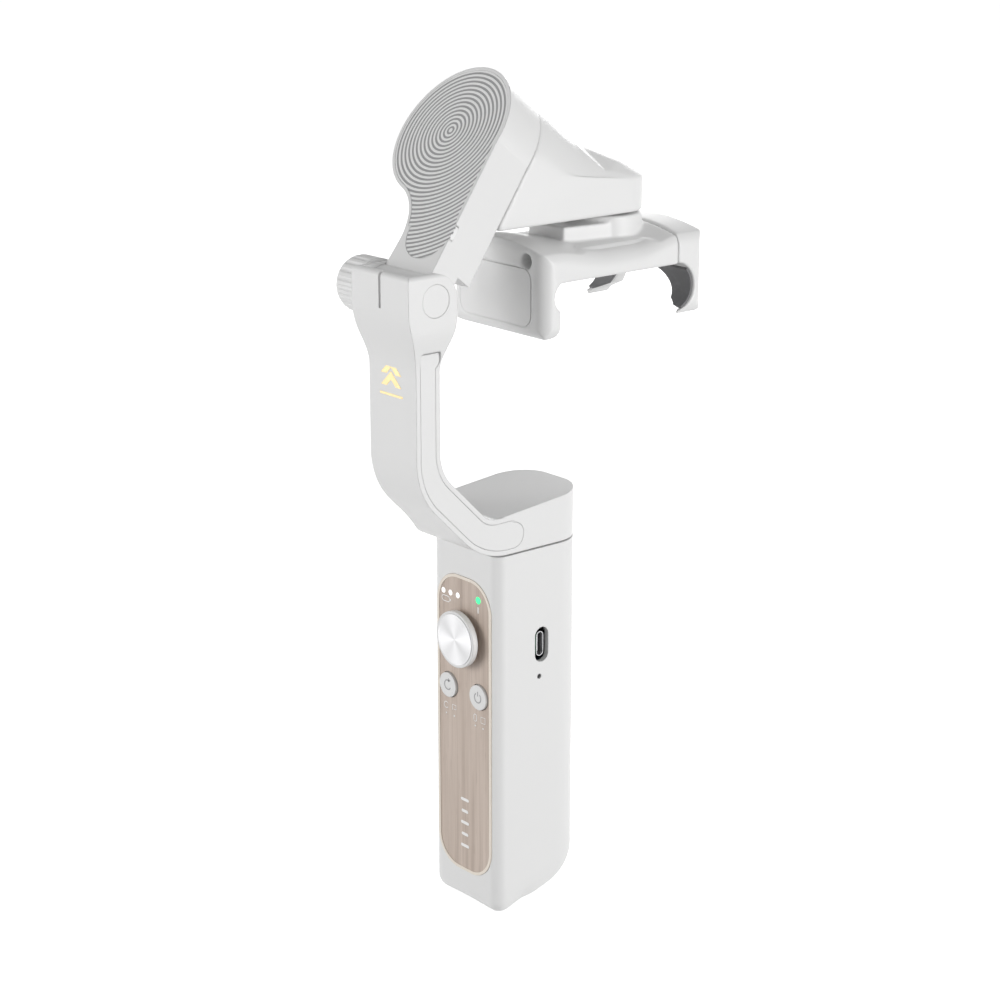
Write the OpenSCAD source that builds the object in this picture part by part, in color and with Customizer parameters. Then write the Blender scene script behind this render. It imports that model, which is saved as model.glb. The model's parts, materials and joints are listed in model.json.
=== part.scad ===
// Folding three-axis handheld stabilizer for a phone.
// Millimetres, +Z up, user side at -Y. The origin is the mouth of the tripod thread.

/* [Handle] */
// Width of the handle across its flat front
handle_w = 35.2; // [34:0.1:44]
// Distance from the turning axis to the flat front
handle_front = 18; // [17:0.1:21]
// Distance from the turning axis to the back of the grip
handle_back = 23; // [21:0.1:29]
// Height of the handle up to the turning seam
handle_h = 132.2; // [116:0.1:160]
// Wall of the handle shell
wall = 2; // [1.6:0.1:2.4]
// Radius of the two front corners
front_r = 4; // [3:0.1:5]
// Radius of the two rear corners
back_r = 13; // [10:0.1:15]

/* [Control panel] */
// Width of the inlaid control panel
panel_w = 29; // [28.4:0.1:29.4]
// Height of the inlaid control panel
panel_h = 109.5; // [100:0.5:110]
// Height of the panel's lower end above the base
panel_z = 12; // [9:0.1:14]
// Diameter of the thumb disc
disc_d = 20; // [17:0.1:22]
// Height of the thumb disc above the base
disc_z = 99.7; // [98:0.1:101]
// Diameter of each round button
button_d = 8.9; // [7.6:0.1:9.4]
// Distance between the two buttons
button_pitch = 16.4; // [15:0.1:17.5]
// Height of the two buttons above the base
button_z = 80; // [76:0.1:82]

/* [Lower arm] */
// Gap of the seam between the handle and the turning cap
seam = 0.6; // [0.4:0.1:0.9]
// Height of the turning cap at its front edge
cap_h = 13.2; // [12:0.1:15]
// Rise of the cap's top from its front to its back
cap_rise = 4; // [2:0.1:5]
// Reach of the arm's outer face in front of the turning axis
arm_reach = 51.5; // [48:0.1:62]
// Thickness of the arm
arm_t = 9.6; // [8.5:0.1:11]
// Width of the arm
arm_w = 24.6; // [22:0.1:26]
// Thickness of each hinge cheek outside the arm's width
cheek_t = 2.6; // [2.2:0.1:3.2]

/* [Fold hinge] */
// Height of the hinge pin above the base
hinge_z = 223.8; // [216:0.1:240]
// Distance of the hinge pin behind the arm's outer face
hinge_in = 6.3; // [6:0.1:7]
// Diameter of the hinge pin
pin_d = 5; // [4:0.1:6]
// Diameter of the lock knob
knob_d = 19; // [17:0.1:22]
// Length of the lock knob
knob_l = 13.5; // [12:0.1:17]

/* [Upper arm] */
// Tilt of the upper arm's face from the horizontal
face_tilt = 51.5; // [48:0.5:54]
// Radius of the upper motor head
head_r = 24.6; // [24:0.1:27]
// Thickness of the upper arm
upper_t = 16; // [15.5:0.1:18]
// Distance from the hinge pin to the head's centre, along the arm
head_reach = 57.5; // [54:0.1:64]
// Sideways offset of the head's centre from the hinge's middle
head_offset = 17.6; // [16:0.1:20]

/* [Phone clamp] */
// Length of the clamp along the phone
clamp_w = 49; // [46:0.5:56]
// Distance between the jaws when closed
jaw_gap = 57; // [55:0.5:62]
// Travel of the sliding jaw
jaw_travel = 30; // [24:1:32]
// Depth of the jaws below the top plate
jaw_drop = 19; // [17:0.5:21]
// Diameter of the lower motor housing on the clamp
hub_d = 26.8; // [26:0.1:28]

/* [Hidden] */

fine = 96;
medium = 48;
hull_fn = 32;
gap = 0.3;
slip = 0.05;
thin = 0.01;

// Colours of the finishes
white_shell = [0.93, 0.93, 0.92];
soft_grey = [0.42, 0.43, 0.44];
dark_grey = [0.18, 0.18, 0.19];
wood_tone = [0.76, 0.69, 0.64];
cream = [0.95, 0.88, 0.82];
steel = [0.75, 0.76, 0.78];
copper = [0.72, 0.45, 0.25];
board_green = [0.1, 0.35, 0.2];

// Places worked out from the sizes above
seam_top = handle_h + seam;
cap_front_z = seam_top + cap_h;
arm_x1 = handle_w/2;
arm_x0 = arm_x1 - arm_w;
arm_mid = (arm_x0 + arm_x1)/2;
hinge_y = -arm_reach + hinge_in;
cheek_r = 8.6;
barrel_r = 7.8;
front_wall_y = hinge_y - cheek_r - 2.4;
clevis_top = hinge_z + cheek_r;
clevis_x0 = arm_x0 - cheek_t;
clevis_x1 = arm_x1 + cheek_t;

// The upper arm's own frame: its face is the plane z = 0 and the motor axis is z
hinge_below_face = 4.3;
face_pos = [
  arm_mid - head_offset,
  hinge_y + head_reach*cos(face_tilt) - hinge_below_face*sin(face_tilt),
  hinge_z + head_reach*sin(face_tilt) + hinge_below_face*cos(face_tilt)
];
tongue_x0 = head_offset - arm_w/2 + 0.1;
tongue_x1 = head_offset + arm_w/2 - 0.2;
neck_fillet = 20;

// Motor sizes: [outer radius, height]
pan_motor = [12.8, 13];
roll_motor = [14.5, 10.4];
tilt_motor = [10.6, 9];
rotor_gap = 0.5;
shaft_r = 2;
bearing_r = 4.5;
bearing_h = 2.5;
tube_r = 5.4;
base_t = 1.4;
bell_t = 1.2;
magnet_t = 1;
air_gap = 0.4;

// Cross arm and clamp places
seam_roll = 0.6;
root_depth = upper_t + seam_roll;
root_pos = face_pos - root_depth*[0, -sin(face_tilt), cos(face_tilt)];
cross_bottom = root_pos[2] - (head_r - 0.5)*sin(face_tilt) - 1;
cross_h = 12;
cross_end_r = hub_d/2;
tilt_x = 0;
tilt_y = root_pos[1] + 43.8;
tilt_gap = 0.7;
hub_top = cross_bottom - tilt_gap;
plate_top = hub_top - 7.5;
plate_t = 9.4;
plate_bottom = plate_top - plate_t;
block_top = plate_top + 2;
jaw_top = plate_top + 4;
crown_r = 84;
clamp_y0 = tilt_y - 47.5;
block_t = 7.2;
inner_y0 = clamp_y0 + block_t;
inner_y1 = inner_y0 + jaw_gap;
jaw_wall = 9;
clamp_y1 = inner_y1 + jaw_wall;
tunnel_h = 4;
tunnel_z = plate_bottom + 2.7;
jaw_edge = clamp_w/2;

// ---------------------------------------------------------------- helpers

// Points of an arc, from one angle to the other
function arc(c, r, a0, a1, n = 16) =
  [for (i = [0:n]) c + r*[cos(a0 + (a1 - a0)*i/n), sin(a0 + (a1 - a0)*i/n)]];

// Smooth step from 0 to 1
function ease(t) = t*t*(3 - 2*t);

// Rounded rectangle with its lower left corner at the origin, made of true arcs
module round_rect(w, h, r) {
  translate([r, 0]) square([w - 2*r, h]);
  translate([0, r]) square([w, h - 2*r]);
  for (x = [r, w - r], y = [r, h - r])
    translate([x, y]) circle(r = r, $fn = medium);
}

// Outline of the handle seen from above, with every wall moved in by inset
module grip_outline(inset = 0) {
  x = handle_w/2 - inset;
  y0 = -handle_front + inset;
  y1 = handle_back - inset;
  rf = front_r - min(inset, front_r - 1);
  rb = back_r - inset;
  translate([-x, y0 + rf]) square([2*x, y1 - rb - y0 - rf]);
  translate([-x + rf, y0]) square([2*(x - rf), y1 - rb - y0]);
  translate([-x + rb, y1 - rb - 1]) square([2*(x - rb), rb + 1]);
  for (s = [-1, 1]) {
    translate([s*(x - rf), y0 + rf]) circle(r = rf, $fn = fine);
    translate([s*(x - rb), y1 - rb]) circle(r = rb, $fn = fine);
  }
}

// Extrudes a side outline, drawn as (y, z), across the width x0 to x1
module across(x0, x1) {
  translate([x0, 0, 0])
    rotate([90, 0, 90])
      linear_extrude(x1 - x0) children();
}

// Extrudes a front outline, drawn as (x, z), from y0 back to y1
module depthwise(y0, y1) {
  translate([0, y1, 0])
    rotate([90, 0, 0])
      linear_extrude(y1 - y0) children();
}

// A pin along X, from x0 to x1
module pin_x(r, x0, x1, fn = medium) {
  translate([x0, 0, 0]) rotate([0, 90, 0]) cylinder(r = r, h = x1 - x0, $fn = fn);
}

// A pin along Y, from y0 to y1
module pin_y(r, y0, y1, fn = medium) {
  translate([0, y1, 0]) rotate([90, 0, 0]) cylinder(r = r, h = y1 - y0, $fn = fn);
}

// Places its children in the upper arm's own frame
module at_face() {
  translate(face_pos) rotate([face_tilt, 0, 0]) children();
}

// Places its children on the pan motor, which stands on its base
module at_pan_motor() {
  translate([0, 0, shelf_z + shelf_t]) children();
}

// The roll motor hangs behind the cover, with its rotor towards the cross arm
module at_roll_motor() {
  at_face() translate([0, 0, -motor_depth]) rotate([180, 0, 0]) children();
}

// The tilt motor stands in the end of the cross arm, with its rotor downwards
module at_tilt_motor() {
  translate([tilt_x, tilt_y, cross_bottom + cross_floor + rotor_gap + tilt_motor[1]])
    rotate([180, 0, 0]) children();
}

// ---------------------------------------------------------------- motors

// Fixed base of a motor: a disc and the tube that holds the bearings
module motor_base(m) {
  difference() {
    union() {
      cylinder(r = m[0] + 1, h = base_t, $fn = fine);
      cylinder(r = tube_r, h = m[1] - bell_t - air_gap, $fn = fine);
    }
    translate([0, 0, base_t]) cylinder(r = bearing_r, h = m[1], $fn = fine);
    translate([0, 0, -1]) cylinder(r = shaft_r + 1, h = m[1], $fn = fine);
  }
}

// Laminated stator with its wound teeth
module motor_stator(m) {
  r_in = m[0] - bell_t - magnet_t - air_gap;
  teeth = 12;
  h = m[1] - base_t - bell_t - 2.4;
  translate([0, 0, base_t + 1]) difference() {
    union() {
      cylinder(r = tube_r + 1.2, h = h, $fn = fine);
      for (i = [0:teeth - 1])
        rotate(i*360/teeth) translate([tube_r + 0.6, -0.7, 0]) cube([r_in - tube_r - 1.6, 1.4, h]);
      difference() {
        cylinder(r = r_in, h = h, $fn = fine);
        translate([0, 0, -1]) cylinder(r = r_in - 1.2, h = h + 2, $fn = fine);
        for (i = [0:teeth - 1])
          rotate((i + 0.5)*360/teeth) translate([tube_r, -0.5, -1]) cube([r_in, 1, h + 2]);
      }
    }
    translate([0, 0, -1]) cylinder(r = tube_r, h = h + 2, $fn = fine);
  }
}

// Two ball bearings, one at each end of the base's tube
module motor_bearings(m) {
  top = m[1] - bell_t - air_gap - bearing_h;
  for (z = [base_t, top])
    translate([0, 0, z]) difference() {
      cylinder(r = bearing_r, h = bearing_h, $fn = fine);
      translate([0, 0, -1]) cylinder(r = shaft_r + slip, h = bearing_h + 2, $fn = fine);
    }
}

// Rotor bell: a ring and a disc that is pressed onto the shaft
module motor_rotor(m) {
  difference() {
    translate([0, 0, base_t + 0.6]) cylinder(r = m[0], h = m[1] - base_t - 0.6, $fn = fine);
    translate([0, 0, -1]) cylinder(r = m[0] - bell_t, h = m[1] - bell_t + 1, $fn = fine);
    translate([0, 0, -1]) cylinder(r = shaft_r, h = m[1] + 2, $fn = fine);
  }
}

// Ring of separate magnets inside the bell
module motor_magnets(m) {
  poles = 14;
  r = m[0] - bell_t;
  h = m[1] - base_t - bell_t - 2.4;
  translate([0, 0, base_t + 1]) difference() {
    cylinder(r = r, h = h, $fn = fine);
    translate([0, 0, -1]) cylinder(r = r - magnet_t, h = h + 2, $fn = fine);
    for (i = [0:poles - 1])
      rotate(i*360/poles) translate([tube_r, -0.3, -1]) cube([r, 0.6, h + 2]);
  }
}

// Shaft with the flange that drives the next arm
module motor_shaft(m, reach, flange_r, flange_h) {
  translate([0, 0, base_t + 0.2]) cylinder(r = shaft_r, h = m[1] + reach - base_t - 0.2, $fn = fine);
  translate([0, 0, m[1]]) cylinder(r = flange_r, h = flange_h, $fn = fine);
}

// ---------------------------------------------------------------- handle

// Solid grip with its rounded foot, with every wall moved in by inset
module grip(inset, top) {
  foot_front = 4.5;
  foot_back = 17;
  foot_side = 7;
  x = handle_w/2 - inset;
  y0 = -handle_front + inset;
  y1 = handle_back - inset;
  rb = foot_back - inset;
  rs = foot_side - inset;
  rf = max(foot_front - inset, 1);
  intersection() {
    translate([0, 0, inset]) linear_extrude(top - inset) grip_outline(inset);
    across(-x, x) {
      translate([y0, inset + rf]) square([y1 - rb - y0, top]);
      translate([y0 + rf, inset]) square([y1 - rb - y0 - rf, top]);
      translate([y0 + rf, inset + rf]) circle(r = rf, $fn = fine);
      intersection() {
        translate([y1 - rb, inset + rb]) circle(r = rb, $fn = fine);
        translate([y1 - rb, inset]) square([rb, rb]);
      }
      translate([y0, inset + rb]) square([y1 - y0, top]);
    }
    depthwise(y0, y1) {
      translate([-x, inset + rs]) square([2*x, top]);
      translate([-x + rs, inset]) square([2*(x - rs), top]);
      for (s = [-1, 1])
        translate([s*(x - rs), inset + rs]) circle(r = rs, $fn = fine);
    }
  }
}

// Outline of the control panel, grown outwards by grow
module panel_outline(grow = 0) {
  w = panel_w + 2*grow;
  r = 11 + grow;
  translate([-w/2, panel_z - grow]) round_rect(w, panel_h + 2*grow, r);
}

rim_w = 1.1;
inlay_t = 1.4;
panel_seat_y = -handle_front + inlay_t;
port_z = disc_z - 2.4;
port_y = 1.9;
port_h = 12.6;
port_w = 6;
charge_z = port_z - 11.5;
lamp_z = panel_z + panel_h - 7.6;
stick_pivot_y = -handle_front + 5;
insert_r = 5.5;
insert_h = 9;
thread_r = 2.6;
deck_t = 3;
shelf_t = 1.8;
shelf_z = handle_h - deck_t - rotor_gap - pan_motor[1] - shelf_t;
pan_flange_r = 8.5;
board_y0 = -9.6;
board_t = 1.6;

module handle_shell() {
  color(white_shell) difference() {
    grip(0, handle_h);
    // hollow inside, with a boss for the insert, a shelf under the pan motor and a top deck
    difference() {
      grip(wall, handle_h - deck_t);
      cylinder(r = insert_r + 3, h = insert_h + 1.5, $fn = fine);
      translate([0, 0, shelf_z]) linear_extrude(shelf_t) difference() {
        grip_outline(0);
        circle(r = 9, $fn = fine);
      }
    }
    // seat of the tripod insert
    translate([0, 0, -1]) cylinder(r = insert_r, h = insert_h + 1, $fn = fine);
    // hole in the deck for the pan motor's flange
    translate([0, 0, handle_h - deck_t - 1]) cylinder(r = pan_flange_r + 0.7, h = deck_t + 2, $fn = fine);
    // recess for the panel and the opening behind it
    depthwise(-handle_front - 1, panel_seat_y) panel_outline(0);
    depthwise(-handle_front - 1, -handle_front + wall + 0.5)
      translate([-panel_w/2 + 3, panel_z + 6]) round_rect(panel_w - 6, panel_h - 14, 6);
    for (s = [-1, 1])
      translate([s*button_pitch/2, 0, button_z])
        pin_y(button_d/2 + 0.5, -handle_front - 1, -handle_front + wall + 1);
    // charging port and charge lamp
    translate([0, port_y, port_z]) rotate([90, 0, 90]) linear_extrude(handle_w)
      translate([-port_w/2, -port_h/2]) round_rect(port_w, port_h, port_w/2 - thin);
    translate([0, port_y - 1, charge_z]) pin_x(0.9, handle_w/4, handle_w);
  }
}

// Metal sleeve with the tripod thread
module tripod_insert() {
  color(steel) difference() {
    cylinder(r = insert_r, h = insert_h, $fn = fine);
    translate([0, 0, -1]) cylinder(r = thread_r, h = insert_h - 0.4, $fn = fine);
  }
}

module panel_rim() {
  color(cream) difference() {
    depthwise(-handle_front - 0.25, panel_seat_y) panel_outline(-slip);
    depthwise(-handle_front - 1, panel_seat_y + 1) panel_outline(-rim_w);
  }
}

module panel_inlay() {
  color(wood_tone) difference() {
    depthwise(-handle_front - 0.05, panel_seat_y) panel_outline(-rim_w);
    // clearance for the stick, the buttons and the lamps
    translate([0, 0, disc_z]) pin_y(5, -handle_front - 1, panel_seat_y + 1);
    for (s = [-1, 1])
      translate([s*button_pitch/2, 0, button_z])
        pin_y(button_d/2 + 0.25, -handle_front - 1, panel_seat_y + 1);
    lamp_holes();
  }
}

lamp_xs = [-11.2, -7.4, -3.4];
lamp_r = 1;
status_x = 7.6;
status_r = 1.3;

// Openings for the lamps in the panel
module lamp_holes() {
  for (x = lamp_xs)
    translate([x, 0, lamp_z]) pin_y(lamp_r, -handle_front - 1, panel_seat_y + 1);
  translate([status_x, 0, lamp_z + 1]) pin_y(status_r, -handle_front - 1, panel_seat_y + 1);
}

module battery_lamps() {
  color("white") for (x = lamp_xs)
    translate([x, 0, lamp_z]) pin_y(lamp_r, -handle_front - 0.05, panel_seat_y);
}

module status_lamp() {
  color([0.3, 0.95, 0.5])
    translate([status_x, 0, lamp_z + 1]) pin_y(status_r, -handle_front - 0.05, panel_seat_y);
}

module charge_lamp() {
  color(dark_grey)
    translate([0, port_y - 1, charge_z]) pin_x(0.9, handle_w/2 - wall, handle_w/2 - 0.6);
}

// Charging receptacle: an oval metal shell with its contact tongue
port_shell_w = 3.2;

module charging_port() {
  shell_h = 8.9;
  shell_w = port_shell_w;
  depth = 7.4;
  x1 = handle_w/2 - 1;
  color(steel) translate([x1 - depth, port_y, port_z]) rotate([90, 0, 90]) {
    difference() {
      linear_extrude(depth)
        translate([-shell_w/2, -shell_h/2]) round_rect(shell_w, shell_h, shell_w/2 - thin);
      translate([0, 0, 1]) linear_extrude(depth)
        translate([-shell_w/2 + 0.3, -shell_h/2 + 0.3])
          round_rect(shell_w - 0.6, shell_h - 0.6, shell_w/2 - 0.3 - thin);
    }
    translate([-0.35, -3.3, 0.5]) cube([0.7, 6.6, 5.4]);
  }
}

cell_r = 9;
cell_y = 10.4;
cell_z0 = 19;
cell_len = 65;
cradle_y = -3;
cradle_z = cell_z0 - 2;
cradle_top = cell_z0 + cell_len + 2;
board_w = 26;
board_z = cradle_z - 3;

// Small board under the charging port, standing on the cradle
module port_board() {
  color(board_green)
    translate([handle_w/2 - wall - 10, port_y - port_shell_w/2 - board_t, cradle_top])
      cube([10, board_t, port_z + 8 - cradle_top]);
}

module main_board() {
  color(board_green) translate([-board_w/2, board_y0, board_z]) cube([board_w, board_t, shelf_z - 2 - board_z]);
}

module battery_cell() {
  color([0.25, 0.45, 0.7]) {
    translate([0, cell_y, cell_z0]) cylinder(r = cell_r, h = cell_len, $fn = fine);
    translate([0, cell_y, cell_z0 + cell_len]) cylinder(r = 3, h = 1.2, $fn = medium);
  }
}

// Cradle across the grip that holds the cell behind it and the board on four posts
module battery_cradle() {
  half_w = handle_w/2 - wall;
  color(dark_grey) {
    difference() {
      translate([-half_w, cradle_y, cradle_z]) cube([2*half_w, cell_y - 1 - cradle_y, cradle_top - cradle_z]);
      translate([0, cell_y, cradle_z - 1]) cylinder(r = cell_r + 0.1, h = cell_len + 6, $fn = fine);
    }
    for (x = [-1, 1], z = [cradle_z + 4, cradle_top - 14])
      translate([x*(board_w/2 - 3), 0, z]) pin_y(2, board_y0 + board_t, cradle_y + 1);
  }
}

// ---------------------------------------------------------------- thumb stick and buttons

disc_t = 2;
disc_front = -handle_front - 4.2;
disc_rim = 1;
ball_r = 2.4;
ring_r = 4.4;
ring_t = 2.4;
trunnion_r = 0.7;

module thumb_disc() {
  color(steel) translate([0, 0, disc_z]) pin_y(disc_d/2 - disc_rim, disc_front - 0.2, disc_front + 0.8, fine);
}

module thumb_disc_rim() {
  color(white_shell) translate([0, 0, disc_z]) difference() {
    union() {
      pin_y(disc_d/2, disc_front, disc_front + disc_t, fine);
      pin_y(disc_d/2 - 3, disc_front, disc_front + disc_t + 0.4, fine);
    }
    pin_y(disc_d/2 - disc_rim, disc_front - 1, disc_front + 0.8, fine);
  }
}

module thumb_stick() {
  color(dark_grey) translate([0, 0, disc_z]) {
    pin_y(1.6, disc_front + disc_t + 0.4, stick_pivot_y);
    translate([0, stick_pivot_y, 0]) {
      sphere(r = ball_r, $fn = medium);
      translate([0, 0, -ring_r + 0.3]) cylinder(r = trunnion_r, h = 2*ring_r - 0.6, $fn = medium);
    }
  }
}

// Ring of the stick's cross joint: the stick tips in it and it rocks in the housing
module stick_ring() {
  color(steel) translate([0, stick_pivot_y, disc_z]) difference() {
    union() {
      pin_y(ring_r, -ring_t/2, ring_t/2);
      pin_x(trunnion_r, -ring_r - 1.6, ring_r + 1.6);
    }
    pin_y(ball_r + 0.4, -ring_t, ring_t);
    translate([0, 0, -ring_r - 1]) cylinder(r = trunnion_r + slip, h = 2*ring_r + 2, $fn = medium);
  }
}

module stick_housing() {
  half = 7;
  front = 2.6;
  color(dark_grey) translate([0, stick_pivot_y, disc_z]) difference() {
    translate([-half, -front, -half]) cube([2*half, board_y0 - stick_pivot_y + front, 2*half]);
    pin_y(ring_r + 0.6, -front + 0.7, board_y0 - stick_pivot_y - 0.6);
    pin_y(ball_r + 0.8, -front - 1, 0);
    pin_x(trunnion_r + slip, -ring_r - 1.8, ring_r + 1.8);
  }
}

// A round button with the stem that works its switch
module round_button(side) {
  color(white_shell) translate([side*button_pitch/2, 0, button_z]) {
    pin_y(button_d/2, -handle_front - 0.9, -handle_front + 2.2, fine);
    pin_y(1, -handle_front + 2.2, board_y0 - 3.2);
  }
}

module mode_button() {
  round_button(-1);
}

module power_button() {
  round_button(1);
}

module button_switches() {
  color(dark_grey) for (s = [-1, 1])
    translate([s*button_pitch/2 - 3, board_y0 - 2.4, button_z - 3]) cube([6, 2.4, 6]);
}

// ---------------------------------------------------------------- pan motor

module pan_motor_base() {
  color(steel) at_pan_motor() motor_base(pan_motor);
}

module pan_stator() {
  color(copper) at_pan_motor() motor_stator(pan_motor);
}

module pan_bearings() {
  color(steel) at_pan_motor() motor_bearings(pan_motor);
}

module pan_rotor() {
  color(dark_grey) at_pan_motor() motor_rotor(pan_motor);
}

module pan_magnets() {
  color(steel) at_pan_motor() motor_magnets(pan_motor);
}

module pan_shaft() {
  color(steel) at_pan_motor() motor_shaft(pan_motor, deck_t, pan_flange_r, rotor_gap + deck_t + seam + pan_seat);
}

// ---------------------------------------------------------------- lower arm

pan_seat = 2;
bend_r = 26;
inner_r = 16;
foot_r = 8;
bend_1 = [-arm_reach + bend_r, seam_top + bend_r + 12.2];
bend_2 = bend_1 + (bend_1[1] - seam_top - bend_r)*[1, -1];
bend_3 = [-arm_reach + arm_t + inner_r, bend_1[1] + 2];
bend_4_z = cap_front_z + foot_r;
bend_4 = [bend_3[0] + bend_3[1] + (foot_r - inner_r)*sqrt(2) - bend_4_z, bend_4_z];
flare_z = hinge_z - 24;

// Side outline of the curved arm up to a height, with its edges moved in by inset
module arm_side(inset, top) {
  polygon(concat(
    [[-arm_reach + inset, top]],
    arc(bend_1, bend_r - inset, 180, 225),
    arc(bend_2, bend_r - inset, 225, 270),
    [[0, seam_top + inset], [0, cap_front_z - inset]],
    arc(bend_4, foot_r + inset, 270, 225),
    arc(bend_3, inner_r + inset, 225, 180),
    [[-arm_reach + arm_t - inset, top]]
  ));
}

// Side outline of the hinge head, flaring out of the arm
module clevis_side() {
  steps = 12;
  front_z = hinge_z - 3;
  back_y = hinge_y + cheek_r;
  polygon(concat(
    [for (i = [0:steps]) [
      -arm_reach + (front_wall_y + arm_reach)*ease(i/steps),
      flare_z + (front_z - flare_z)*i/steps]],
    arc([front_wall_y + 1.5, clevis_top - 1.5], 1.5, 180, 90, 6),
    arc([hinge_y, hinge_z], cheek_r, 90, 0),
    [for (i = [steps:-1:0]) [
      -arm_reach + arm_t + (back_y + arm_reach - arm_t)*ease(i/steps),
      flare_z + (hinge_z - 6 - flare_z)*i/steps]]
  ));
}

// Front outline of the arm: widest at the cap, narrow in the middle, wider at the hinge
module arm_front() {
  steps = 10;
  neck_z = bend_1[1] - 9;
  z0 = flare_z + 1;
  dz = 14;
  polygon(concat(
    [[arm_x1, 0]],
    [for (i = [0:steps]) [arm_x1 + cheek_t*ease(i/steps), z0 + dz*i/steps]],
    arc([clevis_x1 - 1.5, clevis_top - 1.5], 1.5, 0, 90, 6),
    arc([clevis_x0 + 1.5, clevis_top - 1.5], 1.5, 90, 180, 6),
    [for (i = [steps:-1:0]) [arm_x0 - cheek_t*ease(i/steps), z0 + dz*i/steps]],
    [[arm_x0, neck_z], [-handle_w/2, neck_z], [-handle_w/2, 0]]
  ));
}

// Plan outline of the arm, which spreads to the full width of the cap
module arm_plan() {
  steps = 14;
  y0 = -arm_reach + arm_t + 3;
  y1 = -handle_front + 1;
  polygon(concat(
    [[arm_x1, 10], [arm_x1, front_wall_y - 5], [clevis_x1, front_wall_y - 5]],
    [[clevis_x0, front_wall_y - 5], [arm_x0, front_wall_y - 5]],
    [for (i = [0:steps]) [
      arm_x0 - (arm_x0 + handle_w/2)*ease(i/steps), y0 + (y1 - y0)*i/steps]],
    [[-handle_w/2, 10]]
  ));
}

// Half of the lower arm's recess for the cover, drawn on its right side
module cover_outline(inset) {
  end_r = 4.6 - inset;
  end_y = -arm_reach + 40.6;
  intersection() {
    arm_side(1.7 + inset, flare_z + 30);
    translate([-arm_reach - 1, 0]) square([end_y + arm_reach + 1, flare_z + 5]);
  }
  translate([end_y, seam_top + 6.3]) circle(r = end_r, $fn = fine);
  translate([-arm_reach + 5.5, flare_z + 5]) circle(r = 4.2 - inset, $fn = fine);
}

module lower_arm() {
  color(white_shell) difference() {
    union() {
      // turning cap, with its top sloping up to the back
      difference() {
        translate([0, 0, seam_top]) linear_extrude(cap_h + cap_rise + 6) grip_outline(0);
        translate([-handle_w, -handle_front, cap_front_z])
          rotate([atan2(cap_rise, handle_front + handle_back), 0, 0])
            translate([0, -20, 0]) cube([2*handle_w, 90, 40]);
      }
      intersection() {
        union() {
          across(-handle_w/2, clevis_x1) arm_side(0, flare_z + 0.5);
          across(clevis_x0, clevis_x1) clevis_side();
        }
        depthwise(front_wall_y - 2, 0) arm_front();
        linear_extrude(flare_z) arm_plan();
      }
      intersection() {
        across(clevis_x0, clevis_x1) clevis_side();
        depthwise(front_wall_y - 2, 0) arm_front();
      }
    }
    // slot for the upper arm's barrel
    across(arm_x0 - 0.2, arm_x1 + 0.1) {
      translate([hinge_y, hinge_z]) circle(r = barrel_r + 0.5, $fn = fine);
      translate([hinge_y - barrel_r - 0.5, hinge_z]) square([40, 20]);
      translate([hinge_y, hinge_z - barrel_r - 0.5]) square([40, 30]);
    }
    // slit in the front wall, bore of the pin and seat of the pin cover
    translate([arm_mid - 0.5, front_wall_y - 1, hinge_z - 3]) cube([1, 4.4, 20]);
    translate([0, hinge_y, hinge_z]) {
      pin_x(pin_d/2, clevis_x0 - 1, clevis_x1 + 1);
      pin_x(pin_cover_r, clevis_x1 - 1.2, clevis_x1 + 1, fine);
    }
    // recess of the arm cover with the cable channel behind it
    across(arm_x1 - cover_t, arm_x1 + 1) cover_outline(0);
    across(arm_x1 - cover_t - 4, arm_x1) cover_outline(1.6);
    // seat of the pan motor's flange
    translate([0, 0, seam_top - 1]) cylinder(r = pan_flange_r, h = pan_seat + 1, $fn = fine);
  }
}

cover_t = 1.2;
pin_cover_r = 5.4;

module arm_cover() {
  color(white_shell) across(arm_x1 - cover_t, arm_x1 - thin) cover_outline(0.08);
}

module hinge_pin() {
  color(steel) translate([0, hinge_y, hinge_z])
    pin_x(pin_d/2, clevis_x0 - knob_l + 4, clevis_x1 - 1.2);
}

module hinge_pin_cover() {
  color(white_shell) translate([0, hinge_y, hinge_z])
    pin_x(pin_cover_r - slip, clevis_x1 - 1.2, clevis_x1 - 0.1, fine);
}

// Ribbed knob with a rounded end
module lock_knob() {
  ribs = 20;
  x1 = clevis_x0 - gap;
  x0 = x1 - knob_l;
  r = knob_d/2;
  color(white_shell) translate([0, hinge_y, hinge_z]) difference() {
    translate([x1, 0, 0]) rotate([0, -90, 0]) rotate_extrude($fn = fine) difference() {
      union() {
        square([r, knob_l - 5]);
        translate([0, knob_l - 5]) square([r - 5, 5]);
        intersection() {
          translate([r - 5, knob_l - 5]) circle(r = 5, $fn = fine);
          square([r, knob_l]);
        }
      }
      square([nut_r, 5]);
      square([pin_d/2 + slip, knob_l - 2]);
    }
    for (i = [0:ribs - 1])
      rotate([i*360/ribs, 0, 0]) translate([0, 0, r + 0.5]) pin_x(1, x0 - 1, x1 - 1.5, 24);
  }
}

nut_r = 5;

module lock_nut() {
  x1 = clevis_x0 - gap;
  color(steel) translate([0, hinge_y, hinge_z]) difference() {
    pin_x(nut_r, x1 - 5, x1 - 0.2, fine);
    pin_x(pin_d/2 + slip, x1 - 6, x1 + 1);
  }
}

// ---------------------------------------------------------------- upper arm

cover_seat = 1.6;
face_rim = 1.2;
motor_depth = 3;
neck_end = 11.6;

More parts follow.
